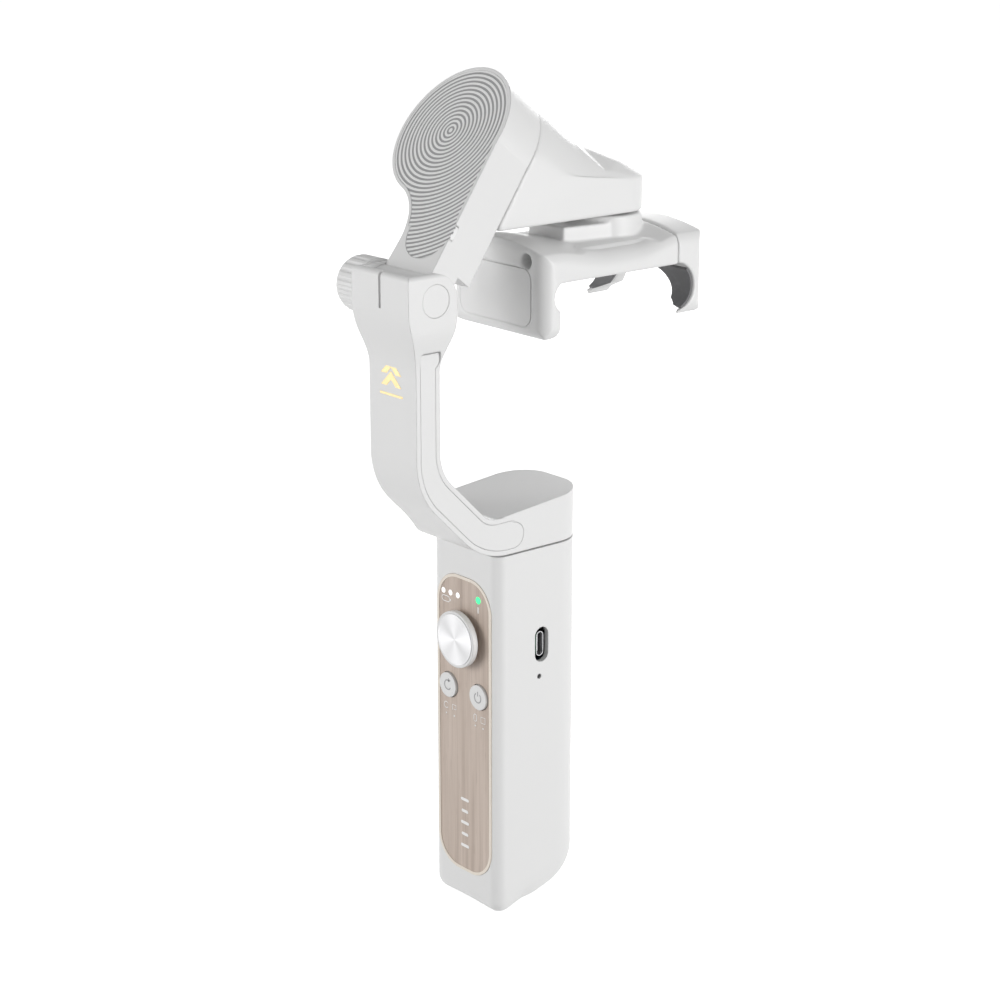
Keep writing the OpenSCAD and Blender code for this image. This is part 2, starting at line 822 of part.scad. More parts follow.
// Plate in the face plane: the round head and its neck down to end_y, with its edges
// moved in by inset. The left side of the neck runs into the head through a hollow fillet.
module head_plate(inset, h, end_y) {
  tl = tongue_x0 + inset;
  tr = tongue_x1 - inset;
  r = head_r - inset;
  rf = neck_fillet + inset - 0.02;
  fx = tl - neck_fillet - inset;
  fy = -sqrt(pow(head_r + neck_fillet, 2) - pow(fx, 2));
  right_x = r + (tr - r)*end_y/(-head_reach);
  left = end_y > fy ? [[fx*end_y/fy, end_y]] : [[tl, end_y], [tl, fy], [fx, fy]];
  difference() {
    union() {
      cylinder(r = r, h = h, $fn = 128);
      linear_extrude(h) polygon(concat([[0, 0], [r - 0.1, 0], [right_x, end_y]], left));
    }
    translate([fx, fy, -1]) cylinder(r = rf, h = h + 2, $fn = 128);
  }
}

// The cover's plate ends in a round tip part way down the neck
module face_cover_plate(inset, h) {
  tip_y = -head_reach + 21.5;
  head_plate(face_rim + inset, h, tip_y);
  translate([head_offset, tip_y, 0]) cylinder(r = arm_w/2 - 1.9 - inset, h = h, $fn = fine);
}

module upper_arm() {
  neck_t = hinge_below_face + 6;
  color(white_shell) at_face() difference() {
    union() {
      translate([0, 0, -upper_t]) head_plate(0, upper_t, -head_reach + neck_end);
      translate([0, 0, -neck_t]) head_plate(0, neck_t, -head_reach + 5);
      translate([0, -head_reach, -hinge_below_face]) pin_x(barrel_r, tongue_x0, tongue_x1, fine);
    }
    // seat of the face cover, the motor's pocket and the hole for its flange
    translate([0, 0, -cover_seat]) face_cover_plate(0, cover_seat + 1);
    translate([0, 0, -motor_depth - base_t]) cylinder(r = roll_motor[0] + 1.1, h = 10, $fn = fine);
    translate([0, 0, -upper_t + 1.8]) cylinder(r = roll_motor[0] + 0.6, h = upper_t, $fn = fine);
    translate([0, 0, -upper_t - 1]) cylinder(r = roll_flange_r + 0.6, h = 5, $fn = fine);
    // cable pocket in the neck and the bore of the hinge pin
    translate([head_offset - 6, -head_reach + 22, -9]) cube([12, 24, 12]);
    translate([0, -head_reach, -hinge_below_face]) pin_x(pin_d/2 + slip, tongue_x0 - 1, tongue_x1 + 1);
  }
}

module upper_arm_cover() {
  color(white_shell) at_face()
    translate([0, 0, -cover_seat]) face_cover_plate(0.1, cover_seat - 0.05);
}

roll_flange_r = 9;
roll_seat = 2;

module roll_motor_base() {
  color(steel) at_roll_motor() motor_base(roll_motor);
}

module roll_stator() {
  color(copper) at_roll_motor() motor_stator(roll_motor);
}

module roll_bearings() {
  color(steel) at_roll_motor() motor_bearings(roll_motor);
}

module roll_rotor() {
  color(dark_grey) at_roll_motor() motor_rotor(roll_motor);
}

module roll_magnets() {
  color(steel) at_roll_motor() motor_magnets(roll_motor);
}

module roll_shaft() {
  flange_h = upper_t - motor_depth - roll_motor[1] + seam_roll + roll_seat;
  color(steel) at_roll_motor() motor_shaft(roll_motor, 1, roll_flange_r, flange_h);
}

// ---------------------------------------------------------------- cross arm

tilt_flange_r = 6.6;
cross_floor = 1.4;
tilt_seat = 2;

// Middle section of the cross arm, where its slope changes
module cross_middle() {
  y = root_pos[1] + 33;
  translate([-16, y, cross_bottom]) cube([16 + cross_end_r, 1, cross_h + 2]);
  translate([-4, y, cross_bottom + cross_h + 1.5]) rotate([-90, 0, 0]) cylinder(r = 9, h = 1, $fn = hull_fn);
}

module cross_arm() {
  color(white_shell) difference() {
    union() {
      hull() {
        at_face() translate([0, 0, -root_depth - 1.5]) cylinder(r = head_r - 0.5, h = 1.5, $fn = fine);
        translate([face_pos[0], root_pos[1] - 13.5, cross_bottom]) cube([cross_end_r - face_pos[0], 1, 2]);
        cross_middle();
      }
      hull() {
        cross_middle();
        translate([tilt_x, tilt_y, cross_bottom]) cylinder(r = cross_end_r, h = cross_h, $fn = fine);
        translate([tilt_x, tilt_y - 3, cross_bottom]) cylinder(r = 8, h = cross_h + 4.6, $fn = hull_fn);
      }
    }
    // pocket of the tilt motor and the hole for its flange
    translate([tilt_x, tilt_y, cross_bottom + cross_floor])
      cylinder(r = tilt_motor[0] + 1.1, h = rotor_gap + tilt_motor[1], $fn = fine);
    translate([tilt_x, tilt_y, cross_bottom - 1]) cylinder(r = tilt_flange_r + 0.6, h = 4, $fn = fine);
    // seat of the roll motor's flange
    at_face() translate([0, 0, -root_depth - roll_seat])
      cylinder(r = roll_flange_r, h = roll_seat + 1, $fn = fine);
  }
}

module tilt_motor_base() {
  color(steel) at_tilt_motor() motor_base(tilt_motor);
}

module tilt_stator() {
  color(copper) at_tilt_motor() motor_stator(tilt_motor);
}

module tilt_bearings() {
  color(steel) at_tilt_motor() motor_bearings(tilt_motor);
}

module tilt_rotor() {
  color(dark_grey) at_tilt_motor() motor_rotor(tilt_motor);
}

module tilt_magnets() {
  color(steel) at_tilt_motor() motor_magnets(tilt_motor);
}

module tilt_shaft() {
  flange_h = rotor_gap + cross_floor + tilt_gap + tilt_seat;
  color(steel) at_tilt_motor() motor_shaft(tilt_motor, 1, tilt_flange_r, flange_h);
}

// ---------------------------------------------------------------- phone clamp

block_bottom = plate_bottom - jaw_drop;
jaw_split = inner_y1 - 4;
hook_r = 8.5;
hook_in = 4.6;
hook_z = plate_bottom - 8;
lip_in = 3.2;
notch_r = 5.2;
notch_in = 2.8;
arch_r = 17;
pad_t = 0.9;
cover_z = block_bottom + 4;
socket_r = 2.6;
socket_x = clamp_w/2 - 9.8;
socket_z = block_top - 4.4;
socket_depth = 8;
slide_w = 22;
rod_x = 15.5;
rod_r = 1;
lug_t = 2.2;
bridge_t = 3;
tunnel_y0 = inner_y0 + 7;
lug_y = jaw_split - bridge_t - 1 - lug_t - jaw_travel;
rod_y0 = tunnel_y0 - 3;
rod_y1 = jaw_split - 1;
clamp_cover_t = 1;
clamp_cover_w = 36.4;
clamp_cover_h = 19.5;

// Plan outline of the closed clamp
module clamp_plan() {
  translate([-clamp_w/2, clamp_y0]) round_rect(clamp_w, clamp_y1 - clamp_y0, 4);
}

// End outline of the clamp at a height, with a crowned top
module clamp_end(top) {
  intersection() {
    translate([-clamp_w/2, block_bottom]) round_rect(clamp_w, top + 2 - block_bottom, 5);
    translate([0, top - crown_r]) circle(r = crown_r, $fn = 192);
  }
}

// Side outline of the clamp's fixed block, with the notch that takes the phone's edge
module block_side() {
  difference() {
    translate([clamp_y0, block_bottom]) round_rect(block_t, block_top - block_bottom, 3);
    translate([inner_y0 + notch_in, plate_bottom - notch_r + 0.5]) circle(r = notch_r, $fn = fine);
  }
  translate([clamp_y0 + 3, plate_bottom]) square([block_t, plate_t - 2]);
}

// Side outline of the jaw: an end wall that goes down into a hook with a small lip
module hook_side() {
  difference() {
    union() {
      translate([inner_y1 - lip_in, block_bottom])
        round_rect(clamp_y1 - inner_y1 + lip_in, jaw_top - block_bottom, 3);
      translate([jaw_split + gap, plate_bottom]) square([8, jaw_top - plate_bottom - 3]);
    }
    translate([inner_y1 - hook_in, hook_z]) circle(r = hook_r, $fn = fine);
    translate([jaw_split - 20, hook_z]) square([20 + gap, 40]);
  }
}

// Arch between the two fingers, flared at its foot
module jaw_arch() {
  translate([0, block_bottom]) {
    circle(r = arch_r, $fn = fine);
    polygon([
      [-arch_r - 5.6, -1], [-arch_r - 5, 3], [-arch_r + 1.6, 6],
      [arch_r - 1.6, 6], [arch_r + 5, 3], [arch_r + 5.6, -1]
    ]);
  }
}

module clamp_body() {
  color(white_shell) difference() {
    union() {
      intersection() {
        translate([0, 0, block_bottom]) linear_extrude(60) clamp_plan();
        depthwise(clamp_y0, jaw_split) clamp_end(block_top);
        across(-clamp_w/2, clamp_w/2) {
          block_side();
          translate([inner_y0 - 2, plate_bottom]) square([jaw_split - inner_y0 + 2, plate_t]);
        }
      }
      // motor housing and the ridge that carries it
      translate([tilt_x, tilt_y, plate_top - 4]) cylinder(r = hub_d/2, h = hub_top - plate_top + 4, $fn = fine);
      translate([0, 0, plate_top - 3]) linear_extrude(hub_top - plate_top + 1)
        polygon([
          [-hub_d/2 + 0.9, tilt_y], [hub_d/2 - 0.9, tilt_y],
          [9, tilt_y - 26], [-9, tilt_y - 26]
        ]);
    }
    // slide tunnel of the jaw, narrow at its mouth, and the seats of the rods
    translate([-rod_x - 3, tunnel_y0, tunnel_z])
      cube([2*rod_x + 6, jaw_split - bridge_t - tunnel_y0, tunnel_h]);
    translate([-slide_w/2 - gap, tunnel_y0, tunnel_z]) cube([slide_w + 2*gap, jaw_gap, tunnel_h]);
    rods(rod_r);
    // seat of the tilt motor's flange
    translate([tilt_x, tilt_y, hub_top - tilt_seat]) cylinder(r = tilt_flange_r, h = 10, $fn = fine);
    // seats of the cover and of its screws, and the accessory socket
    depthwise(clamp_y0 - 1, clamp_y0 + clamp_cover_t)
      translate([-clamp_cover_w/2 - 1, cover_z]) round_rect(clamp_cover_w, clamp_cover_h, 4);
    screw_pair(clamp_y0);
    translate([socket_x, 0, socket_z]) pin_y(socket_r, clamp_y0 - 1, clamp_y0 + socket_depth);
  }
}

// The cover's two screws from a given depth, or the holes for them
module screw_pair(y0) {
  for (s = [-1, 1]) translate([s*12, 0, cover_z + clamp_cover_h/2]) {
    pin_y(1.7, y0, clamp_y0 + clamp_cover_t + 1.2);
    pin_y(0.8, clamp_y0 + clamp_cover_t + 1, clamp_y0 + clamp_cover_t + 2.6);
  }
}

module clamp_cover() {
  color(white_shell) depthwise(clamp_y0 + 0.05, clamp_y0 + clamp_cover_t)
    translate([-clamp_cover_w/2 - 0.9, cover_z + 0.1])
      round_rect(clamp_cover_w - 0.2, clamp_cover_h - 0.2, 3.9);
}

module cover_screws() {
  color(steel) screw_pair(clamp_y0 + clamp_cover_t);
}

// Rubber pad lining a hollow, between two angles
module hollow_pad(cy, cz, r, a0, a1, x0, x1) {
  across(x0, x1) translate([cy, cz])
    polygon(concat(arc([0, 0], r, a0, a1), arc([0, 0], r - pad_t, a1, a0)));
}

module clamp_pad() {
  color(soft_grey)
    hollow_pad(inner_y0 + notch_in, plate_bottom - notch_r + 0.5, notch_r, 138, 222, -18, 18);
}

// Outer part of the jaw: the end wall and the two hooked fingers
module jaw_wall_and_fingers() {
  difference() {
    intersection() {
      across(-jaw_edge, jaw_edge) hook_side();
      translate([0, 0, block_bottom]) linear_extrude(60) clamp_plan();
      depthwise(jaw_split, clamp_y1) clamp_end(jaw_top);
    }
    depthwise(jaw_split - 20, clamp_y1 + 1) jaw_arch();
    // clearance round the motor housing
    translate([tilt_x, tilt_y, plate_bottom]) cylinder(r = hub_d/2 + 0.4, h = 30, $fn = fine);
  }
}

// The jaw with the slide plate that runs in the clamp's tunnel, and its lugs on the rods
module sliding_jaw() {
  color(white_shell) difference() {
    union() {
      jaw_wall_and_fingers();
      translate([-slide_w/2, lug_y, tunnel_z + gap])
        cube([slide_w, jaw_split + 2 - lug_y, tunnel_h - 2*gap]);
      translate([-rod_x - 2, lug_y, tunnel_z + gap]) cube([2*rod_x + 4, lug_t, tunnel_h - 2*gap]);
    }
    rods(rod_r + slip);
  }
}

module jaw_pads() {
  color(soft_grey) difference() {
    for (s = [-1, 1])
      hollow_pad(inner_y1 - hook_in, hook_z, hook_r, -66, 46, s*15.5 - 8, s*15.5 + 8);
    depthwise(jaw_split - 20, clamp_y1 + 1) jaw_arch();
  }
}

// The two guide rods, or with a larger radius the bores that they pass through
module rods(r) {
  for (s = [-1, 1])
    translate([s*rod_x, 0, tunnel_z + tunnel_h/2]) pin_y(r, rod_y0, rod_y1);
}

module spring_rods() {
  color(steel) rods(rod_r);
}

// Pull springs round the rods, from the front of the tunnel to the jaw's lugs
module jaw_springs() {
  color(dark_grey) for (s = [-1, 1])
    translate([s*rod_x, 0, tunnel_z + tunnel_h/2]) difference() {
      pin_y(rod_r + 0.9, tunnel_y0, lug_y);
      pin_y(rod_r + 0.3, tunnel_y0 - 1, lug_y + 1);
    }
}

handle_shell();
tripod_insert();
panel_rim();
panel_inlay();
battery_lamps();
status_lamp();
charge_lamp();
charging_port();
port_board();
main_board();
battery_cell();
battery_cradle();
thumb_disc();
thumb_disc_rim();
thumb_stick();
stick_ring();
stick_housing();
mode_button();
power_button();
button_switches();
pan_motor_base();
pan_stator();
pan_bearings();
pan_rotor();
pan_magnets();
pan_shaft();
lower_arm();
arm_cover();
hinge_pin();
hinge_pin_cover();
lock_knob();
lock_nut();
upper_arm();
upper_arm_cover();
roll_motor_base();
roll_stator();
roll_bearings();
roll_rotor();
roll_magnets();
roll_shaft();
cross_arm();
tilt_motor_base();
tilt_stator();
tilt_bearings();
tilt_rotor();
tilt_magnets();
tilt_shaft();
clamp_body();
clamp_cover();
clamp_pad();
sliding_jaw();
jaw_pads();
jaw_springs();
spring_rods();
cover_screws();
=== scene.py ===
import functools
import json
import logging
import math
from collections.abc import Callable
from dataclasses import dataclass, field
from enum import Enum

import bmesh
import bpy
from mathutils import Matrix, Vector


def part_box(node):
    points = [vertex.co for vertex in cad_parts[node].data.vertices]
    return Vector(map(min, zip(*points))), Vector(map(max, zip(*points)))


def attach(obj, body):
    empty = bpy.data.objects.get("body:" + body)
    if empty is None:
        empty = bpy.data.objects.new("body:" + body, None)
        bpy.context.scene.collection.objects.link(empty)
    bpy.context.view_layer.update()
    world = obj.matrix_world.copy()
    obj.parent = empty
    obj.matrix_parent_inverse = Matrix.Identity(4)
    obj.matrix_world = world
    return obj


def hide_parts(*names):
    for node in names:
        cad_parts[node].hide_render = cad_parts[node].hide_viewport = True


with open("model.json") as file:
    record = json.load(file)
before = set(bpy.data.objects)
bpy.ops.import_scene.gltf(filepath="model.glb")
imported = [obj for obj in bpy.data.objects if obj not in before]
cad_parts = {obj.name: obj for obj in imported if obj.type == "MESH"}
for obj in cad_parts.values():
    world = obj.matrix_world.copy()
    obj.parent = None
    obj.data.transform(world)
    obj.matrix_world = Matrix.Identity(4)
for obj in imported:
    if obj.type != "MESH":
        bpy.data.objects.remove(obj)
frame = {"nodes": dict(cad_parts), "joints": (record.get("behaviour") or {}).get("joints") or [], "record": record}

log = logging.getLogger("stabilizer")
Rgb = tuple[float, float, float]
Point = tuple[float, float]
MM = 0.001
TURN = 2 * math.pi


class Slot(Enum):
    """Material slots of the record that the pieces take their finish from."""

    WHITE_SHELL = "white_shell"
    RING_COVER = "ring_cover"
    PANEL_TRIM = "panel_trim"
    WOOD_INLAY = "wood_inlay"
    WHITE_LAMP = "white_lamp"
    GREEN_LAMP = "green_lamp"
    DARK_PLASTIC = "dark_plastic"
    STEEL = "steel"
    BOARD = "board"
    CELL_SLEEVE = "cell_sleeve"
    BRUSHED_DISC = "brushed_disc"
    GREY_RUBBER = "grey_rubber"
    MOTOR_ALLOY = "motor_alloy"
    WINDING = "winding"
    MOTOR_BLACK = "motor_black"
    MAGNET = "magnet"


def rgba(colour: Rgb) -> tuple[float, float, float, float]:
    """The colour with full opacity."""
    return (*colour, 1.0)


class Value:
    """A number that varies over a surface. Arithmetic on it adds Math nodes."""

    def __init__(self, nodes: "Nodes", socket: bpy.types.NodeSocket) -> None:
        """Wraps a socket of a node tree.

        Args:
            nodes: The tree that the socket is in.
            socket: The output socket that gives the number.
        """
        self.nodes = nodes
        self.socket = socket

    def math(self, operation: str, *terms: "Value | float") -> "Value":
        """The result of one Math node on the given terms."""
        inputs = dict(enumerate(terms))
        node = self.nodes.add("ShaderNodeMath", {"operation": operation}, inputs)
        return Value(self.nodes, node.outputs[0])

    def __add__(self, other: "Value | float") -> "Value":
        """self + other."""
        return self.math("ADD", self, other)

    def __radd__(self, other: float) -> "Value":
        """other + self."""
        return self.math("ADD", other, self)

    def __sub__(self, other: "Value | float") -> "Value":
        """self - other."""
        return self.math("SUBTRACT", self, other)

    def __rsub__(self, other: float) -> "Value":
        """other - self."""
        return self.math("SUBTRACT", other, self)

    def __mul__(self, other: "Value | float") -> "Value":
        """self * other."""
        return self.math("MULTIPLY", self, other)

    def __rmul__(self, other: float) -> "Value":
        """other * self."""
        return self.math("MULTIPLY", other, self)

    def __truediv__(self, other: "Value | float") -> "Value":
        """self / other."""
        return self.math("DIVIDE", self, other)

    def __pow__(self, other: "Value | float") -> "Value":
        """self to the power of other."""
        return self.math("POWER", self, other)

    def sine(self) -> "Value":
        """The sine of the value."""
        return self.math("SINE", self)

    def root(self) -> "Value":
        """The square root of the value."""
        return self.math("SQRT", self)

    def step(self, low: float, high: float) -> "Value":
        """Rises smoothly from 0 at low to 1 at high."""
        inputs = {"Value": self, "From Min": low, "From Max": high}
        node = self.nodes.add("ShaderNodeMapRange", {"interpolation_type": "SMOOTHSTEP"}, inputs)
        return Value(self.nodes, node.outputs[0])


class Nodes:
    """The node tree of one finish, with a Principled shader at its end."""

    def __init__(self, name: str) -> None:
        """Starts an empty material.

        Args:
            name: The material's name.
        """
        self.material = bpy.data.materials.new(name)
        self.material.use_nodes = True
        self.tree = self.material.node_tree
        self.tree.nodes.clear()
        self.surface = self.add("ShaderNodeBsdfPrincipled")
        self.add("ShaderNodeOutputMaterial", inputs={"Surface": self.surface.outputs[0]})

    def add(
        self, kind: str, settings: dict | None = None, inputs: dict | None = None
    ) -> bpy.types.Node:
        """Adds a node.

        Args:
            kind: The node's type.
            settings: Its attributes, and under "stops" the stops of a colour ramp.
            inputs: Numbers, colours, sockets or values for its input sockets.

        Returns:
            The new node.
        """
        node = self.tree.nodes.new(kind)
        for key, value in (settings or {}).items():
            if key == "stops":
                self.fill_ramp(node.color_ramp, value)
            else:
                setattr(node, key, value)
        for key, value in (inputs or {}).items():
            self.feed(node.inputs[key], value)
        return node

    @staticmethod
    def fill_ramp(ramp: bpy.types.ColorRamp, stops: list[tuple[float, Rgb]]) -> None:
        """Sets a colour ramp's stops."""
        while len(ramp.elements) < len(stops):
            ramp.elements.new(1.0)
        for element, (place, colour) in zip(ramp.elements, stops):
            element.position = place
            element.color = rgba(colour)

    def feed(self, socket: bpy.types.NodeSocket, value: object) -> None:
        """Links a value or an output to a socket, or sets the socket's constant."""
        if isinstance(value, Value):
            value = value.socket
        if isinstance(value, bpy.types.NodeSocket):
            self.tree.links.new(value, socket)
        else:
            socket.default_value = value

    def set(self, **inputs: object) -> None:
        """Feeds sockets of the Principled shader, with _ for each space in their names."""
        for key, value in inputs.items():
            self.feed(self.surface.inputs[key.replace("_", " ")], value)

    def place(self) -> bpy.types.NodeSocket:
        """Position on the piece, in metres, in the frame of the whole object at rest."""
        return self.add("ShaderNodeTexCoord").outputs["Object"]

    def vector(self, operation: str, *terms: object) -> bpy.types.Node:
        """A Vector Math node on the given terms."""
        return self.add("ShaderNodeVectorMath", {"operation": operation}, dict(enumerate(terms)))

    def offset(self, centre: Vector) -> bpy.types.NodeSocket:
        """Position measured from a centre."""
        return self.vector("SUBTRACT", self.place(), tuple(centre)).outputs[0]

    def along(self, offset: bpy.types.NodeSocket, direction: Vector) -> Value:
        """How far an offset reaches along a direction."""
        return Value(self, self.vector("DOT_PRODUCT", offset, tuple(direction)).outputs["Value"])

    def noise(self, per_metre: tuple[float, float, float], detail: float = 4.0) -> Value:
        """Noise from 0 to 1.

        Args:
            per_metre: How fine it is along each axis.
            detail: How many finer layers it has.

        Returns:
            The noise as a value.
        """
        place = self.vector("MULTIPLY", self.place(), per_metre).outputs[0]
        node = self.add("ShaderNodeTexNoise", None, {"Vector": place, "Scale": 1.0, "Detail": detail})
        return Value(self, node.outputs[0])

    def blend(self, factor: Value, low: object, high: object) -> bpy.types.NodeSocket:
        """A colour between two colours."""
        node = self.add("ShaderNodeMix", {"data_type": "RGBA"}, {0: factor, 6: low, 7: high})
        return node.outputs[2]

    def relief(self, height: Value, depth: float, edge: float = 0.0) -> None:
        """Raises the surface by a height pattern.

        Args:
            height: The pattern, from 0 to 1.
            depth: The depth of the pattern in metres.
            edge: Radius that sharp edges are eased by, in metres.
        """
        inputs: dict = {"Height": height, "Distance": depth, "Strength": 1.0}
        if edge:
            inputs["Normal"] = self.add("ShaderNodeBevel", {"samples": 4}, {"Radius": edge}).outputs[0]
        self.set(Normal=self.add("ShaderNodeBump", None, inputs).outputs[0])


@dataclass(frozen=True)
class MouldedPlastic:
    """Satin moulded plastic with spark-eroded grain and faint handling marks."""

    name: str
    colour: Rgb = (0.80, 0.80, 0.797)
    roughness: float = 0.38
    grain: float = 0.000012
    edge: float = 0.0005
    coat: float = 0.12

    def make(self) -> bpy.types.Material:
        """Builds the material."""
        nodes = Nodes(self.name)
        grain = nodes.noise((5200, 5200, 5200), 3)
        clouds = nodes.noise((38, 38, 24), 3)
        rubbed = nodes.noise((160, 160, 90), 5).step(0.56, 0.74)
        worn = tuple(c * 0.965 for c in self.colour)
        nodes.set(
            Base_Color=nodes.blend(clouds * 0.5 + grain * 0.25, rgba(self.colour), rgba(worn)),
            Roughness=self.roughness + 0.08 * (clouds - 0.5) + 0.07 * rubbed + 0.05 * (grain - 0.5),
            Coat_Weight=self.coat,
            Coat_Roughness=0.22,
        )
        nodes.relief(grain, self.grain, self.edge)
        return nodes.material


@dataclass(frozen=True)
class TurnedRings:
    """Satin plate with fine grooves turned about the head's middle, with painted shade in the grooves and the land
    painted lighter than the shell plastic as painted light.
    """

    centre: Vector
    axis: Vector
    pitch: float = 1.62 * MM
    painted_lit_land: Rgb = (0.86, 0.86, 0.858)
    painted_groove_shade: Rgb = (0.33, 0.33, 0.335)

    def make(self) -> bpy.types.Material:
        """Builds the material."""
        nodes = Nodes("turned_rings")
        offset = nodes.offset(self.centre)
        height = nodes.along(offset, self.axis)
        reach = Value(nodes, nodes.vector("LENGTH", offset).outputs["Value"])
        radius = (reach * reach - height * height).root()
        wave = (radius * (TURN / self.pitch)).sine()
        face = height.step(-0.0006, -0.0002)
        cut = (wave * -1).step(-0.15, 0.55) * face
        grain = nodes.noise((4200, 4200, 4200), 3)
        nodes.set(
            # Painted shade: the grooves take a dark colour. The land takes a lighter colour than the shell
            # plastic, as painted light.
            Base_Color=nodes.blend(cut * (0.9 + 0.1 * grain), rgba(self.painted_lit_land), rgba(self.painted_groove_shade)),
            Roughness=0.34 + 0.2 * cut + 0.06 * grain,
            Coat_Weight=0.1,
        )
        nodes.relief(1 - cut + 0.03 * grain, 0.00022)
        return nodes.material


@dataclass(frozen=True)
class WoodFilm:
    """Taupe wood-grain film under a satin lacquer, with its grain up the handle."""

    light: Rgb = (0.60, 0.50, 0.43)
    middle: Rgb = (0.50, 0.405, 0.34)
    dark: Rgb = (0.36, 0.28, 0.23)

    def make(self) -> bpy.types.Material:
        """Builds the material."""
        nodes = Nodes("wood_film")
        bands = nodes.noise((330, 330, 9), 6)
        fibres = nodes.noise((2400, 2400, 45), 5)
        pores = nodes.noise((1500, 1500, 110), 2).step(0.62, 0.72)
        tone = bands * 0.72 + fibres * 0.34 - 0.03
        stops = [(0.30, self.dark), (0.46, self.middle), (0.62, self.light)]
        film = nodes.add("ShaderNodeValToRGB", {"stops": stops}, {"Fac": tone}).outputs[0]
        nodes.set(
            Base_Color=nodes.blend(pores * 0.35, film, rgba(self.dark)),
            Roughness=0.42 + 0.14 * fibres + 0.1 * pores,
            Coat_Weight=0.25,
            Coat_Roughness=0.3,
        )
        nodes.relief(fibres - 0.4 * pores, 0.00004)
        return nodes.material


@dataclass(frozen=True)
class SpunAluminium:
    """Aluminium face brushed from its centre outwards, with a highlight painted into its colour as bright and dark
    wedges round the centre.
    """

    centre: Vector
    colour: Rgb = (0.80, 0.80, 0.81)

    def make(self) -> bpy.types.Material:
        """Builds the material."""
        nodes = Nodes("spun_aluminium")
        offset = nodes.offset(self.centre)
        side = nodes.along(offset, Vector((1, 0, 0)))
        rise = nodes.along(offset, Vector((0, 0, 1)))
        angle = side.math("ARCTAN2", rise, side)
        radius = (side * side + rise * rise).root()
        # Painted highlight: bright and dark wedges by angle round the centre, painted into the base colour.
        painted_sheen_sectors = (angle * 4 + 0.9).sine() * 0.32 + (angle * 2 + 0.4).sine() * 0.18 + 0.5
        wheel = nodes.add("ShaderNodeCombineXYZ", None, {0: angle * 34, 1: radius * 90}).outputs[0]
        hairs = Value(nodes, nodes.add("ShaderNodeTexNoise", None, {"Vector": wheel, "Detail": 5.0}).outputs[0])
        # Mixes the painted highlight wedges with the real brushed hairs; low is the darker end of the blend, for
        # painted shade and dark hairs.
        shade = painted_sheen_sectors * 0.75 + hairs * 0.4 - 0.08
        low = tuple(c * 0.62 for c in self.colour)
        nodes.set(
            Base_Color=nodes.blend(shade, rgba(low), rgba(self.colour)),
            Metallic=0.82,
            Roughness=0.34 + 0.2 * hairs,
        )
        nodes.relief(hairs, 0.00003)
        return nodes.material


@dataclass(frozen=True)
class GlossTrim:
    """Glossy plated or printed trim with a slight orange-peel surface."""

    name: str
    colour: Rgb
    metallic: float = 0.0
    roughness: float = 0.2

    def make(self) -> bpy.types.Material:
        """Builds the material."""
        nodes = Nodes(self.name)
        peel = nodes.noise((900, 900, 900), 3)
        dust = nodes.noise((3600, 3600, 3600), 2)
        shade = tuple(c * 0.9 for c in self.colour)
        nodes.set(
            Base_Color=nodes.blend(peel * 0.6, rgba(self.colour), rgba(shade)),
            Metallic=self.metallic,
            Roughness=self.roughness + 0.12 * peel + 0.06 * dust,
            Coat_Weight=0.3,
        )
        nodes.relief(peel, 0.00001, 0.00015)
        return nodes.material


@dataclass(frozen=True)
class LitWindow:
    """Diffusing window of a lamp, brightest in its middle."""

    name: str
    centre: Vector
    radius: float
    colour: Rgb
    strength: float

    def make(self) -> bpy.types.Material:
        """Builds the material."""
        nodes = Nodes(self.name)
        offset = nodes.offset(self.centre)
        reach = Value(nodes, nodes.vector("LENGTH", offset).outputs["Value"])
        core = 1 - (reach / self.radius).step(0.35, 1.3)
        frost = nodes.noise((3000, 3000, 3000), 3)
        dim = tuple(c * 0.72 for c in self.colour)
        nodes.set(
            Base_Color=nodes.blend(core, rgba(dim), rgba(self.colour)),
            Emission_Color=nodes.blend(core * (0.85 + 0.15 * frost), rgba(dim), rgba(self.colour)),
            Emission_Strength=self.strength,
            Roughness=0.3 + 0.2 * frost,
        )
        nodes.relief(frost, 0.00001, 0.0002)
        return nodes.material


@dataclass(frozen=True)
class MatteRubber:
    """Soft matte rubber with a fine pebbled skin and dusty high spots."""

    name: str = "pad_rubber"
    colour: Rgb = (0.17, 0.17, 0.175)

    def make(self) -> bpy.types.Material:
        """Builds the material."""
        nodes = Nodes(self.name)
        pebbles = nodes.noise((2600, 2600, 2600), 2)
        dust = nodes.noise((240, 240, 240), 5).step(0.45, 0.8)
        pale = tuple(c * 1.5 for c in self.colour)
        nodes.set(
            Base_Color=nodes.blend(dust * 0.5 + pebbles * 0.2, rgba(self.colour), rgba(pale)),
            Roughness=0.72 + 0.15 * pebbles,
        )
        nodes.relief(pebbles, 0.00005, 0.0003)
        return nodes.material


@dataclass(frozen=True)
class WorkedMetal:
    """Machined, cast or plated metal with tool marks along one axis."""

    name: str
    colour: Rgb
    roughness: float = 0.3
    marks: tuple[float, float, float] = (3000, 3000, 260)
    depth: float = 0.00002

    def make(self) -> bpy.types.Material:
        """Builds the material."""
        nodes = Nodes(self.name)
        lines = nodes.noise(self.marks, 4)
        stain = nodes.noise((120, 120, 120), 4).step(0.45, 0.8)
        dull = tuple(c * 0.75 for c in self.colour)
        nodes.set(
            Base_Color=nodes.blend(stain * 0.5 + lines * 0.3, rgba(self.colour), rgba(dull)),
            Metallic=1.0,
            Roughness=self.roughness + 0.16 * lines + 0.12 * stain,
        )
        nodes.relief(lines, self.depth, 0.0002)
        return nodes.material


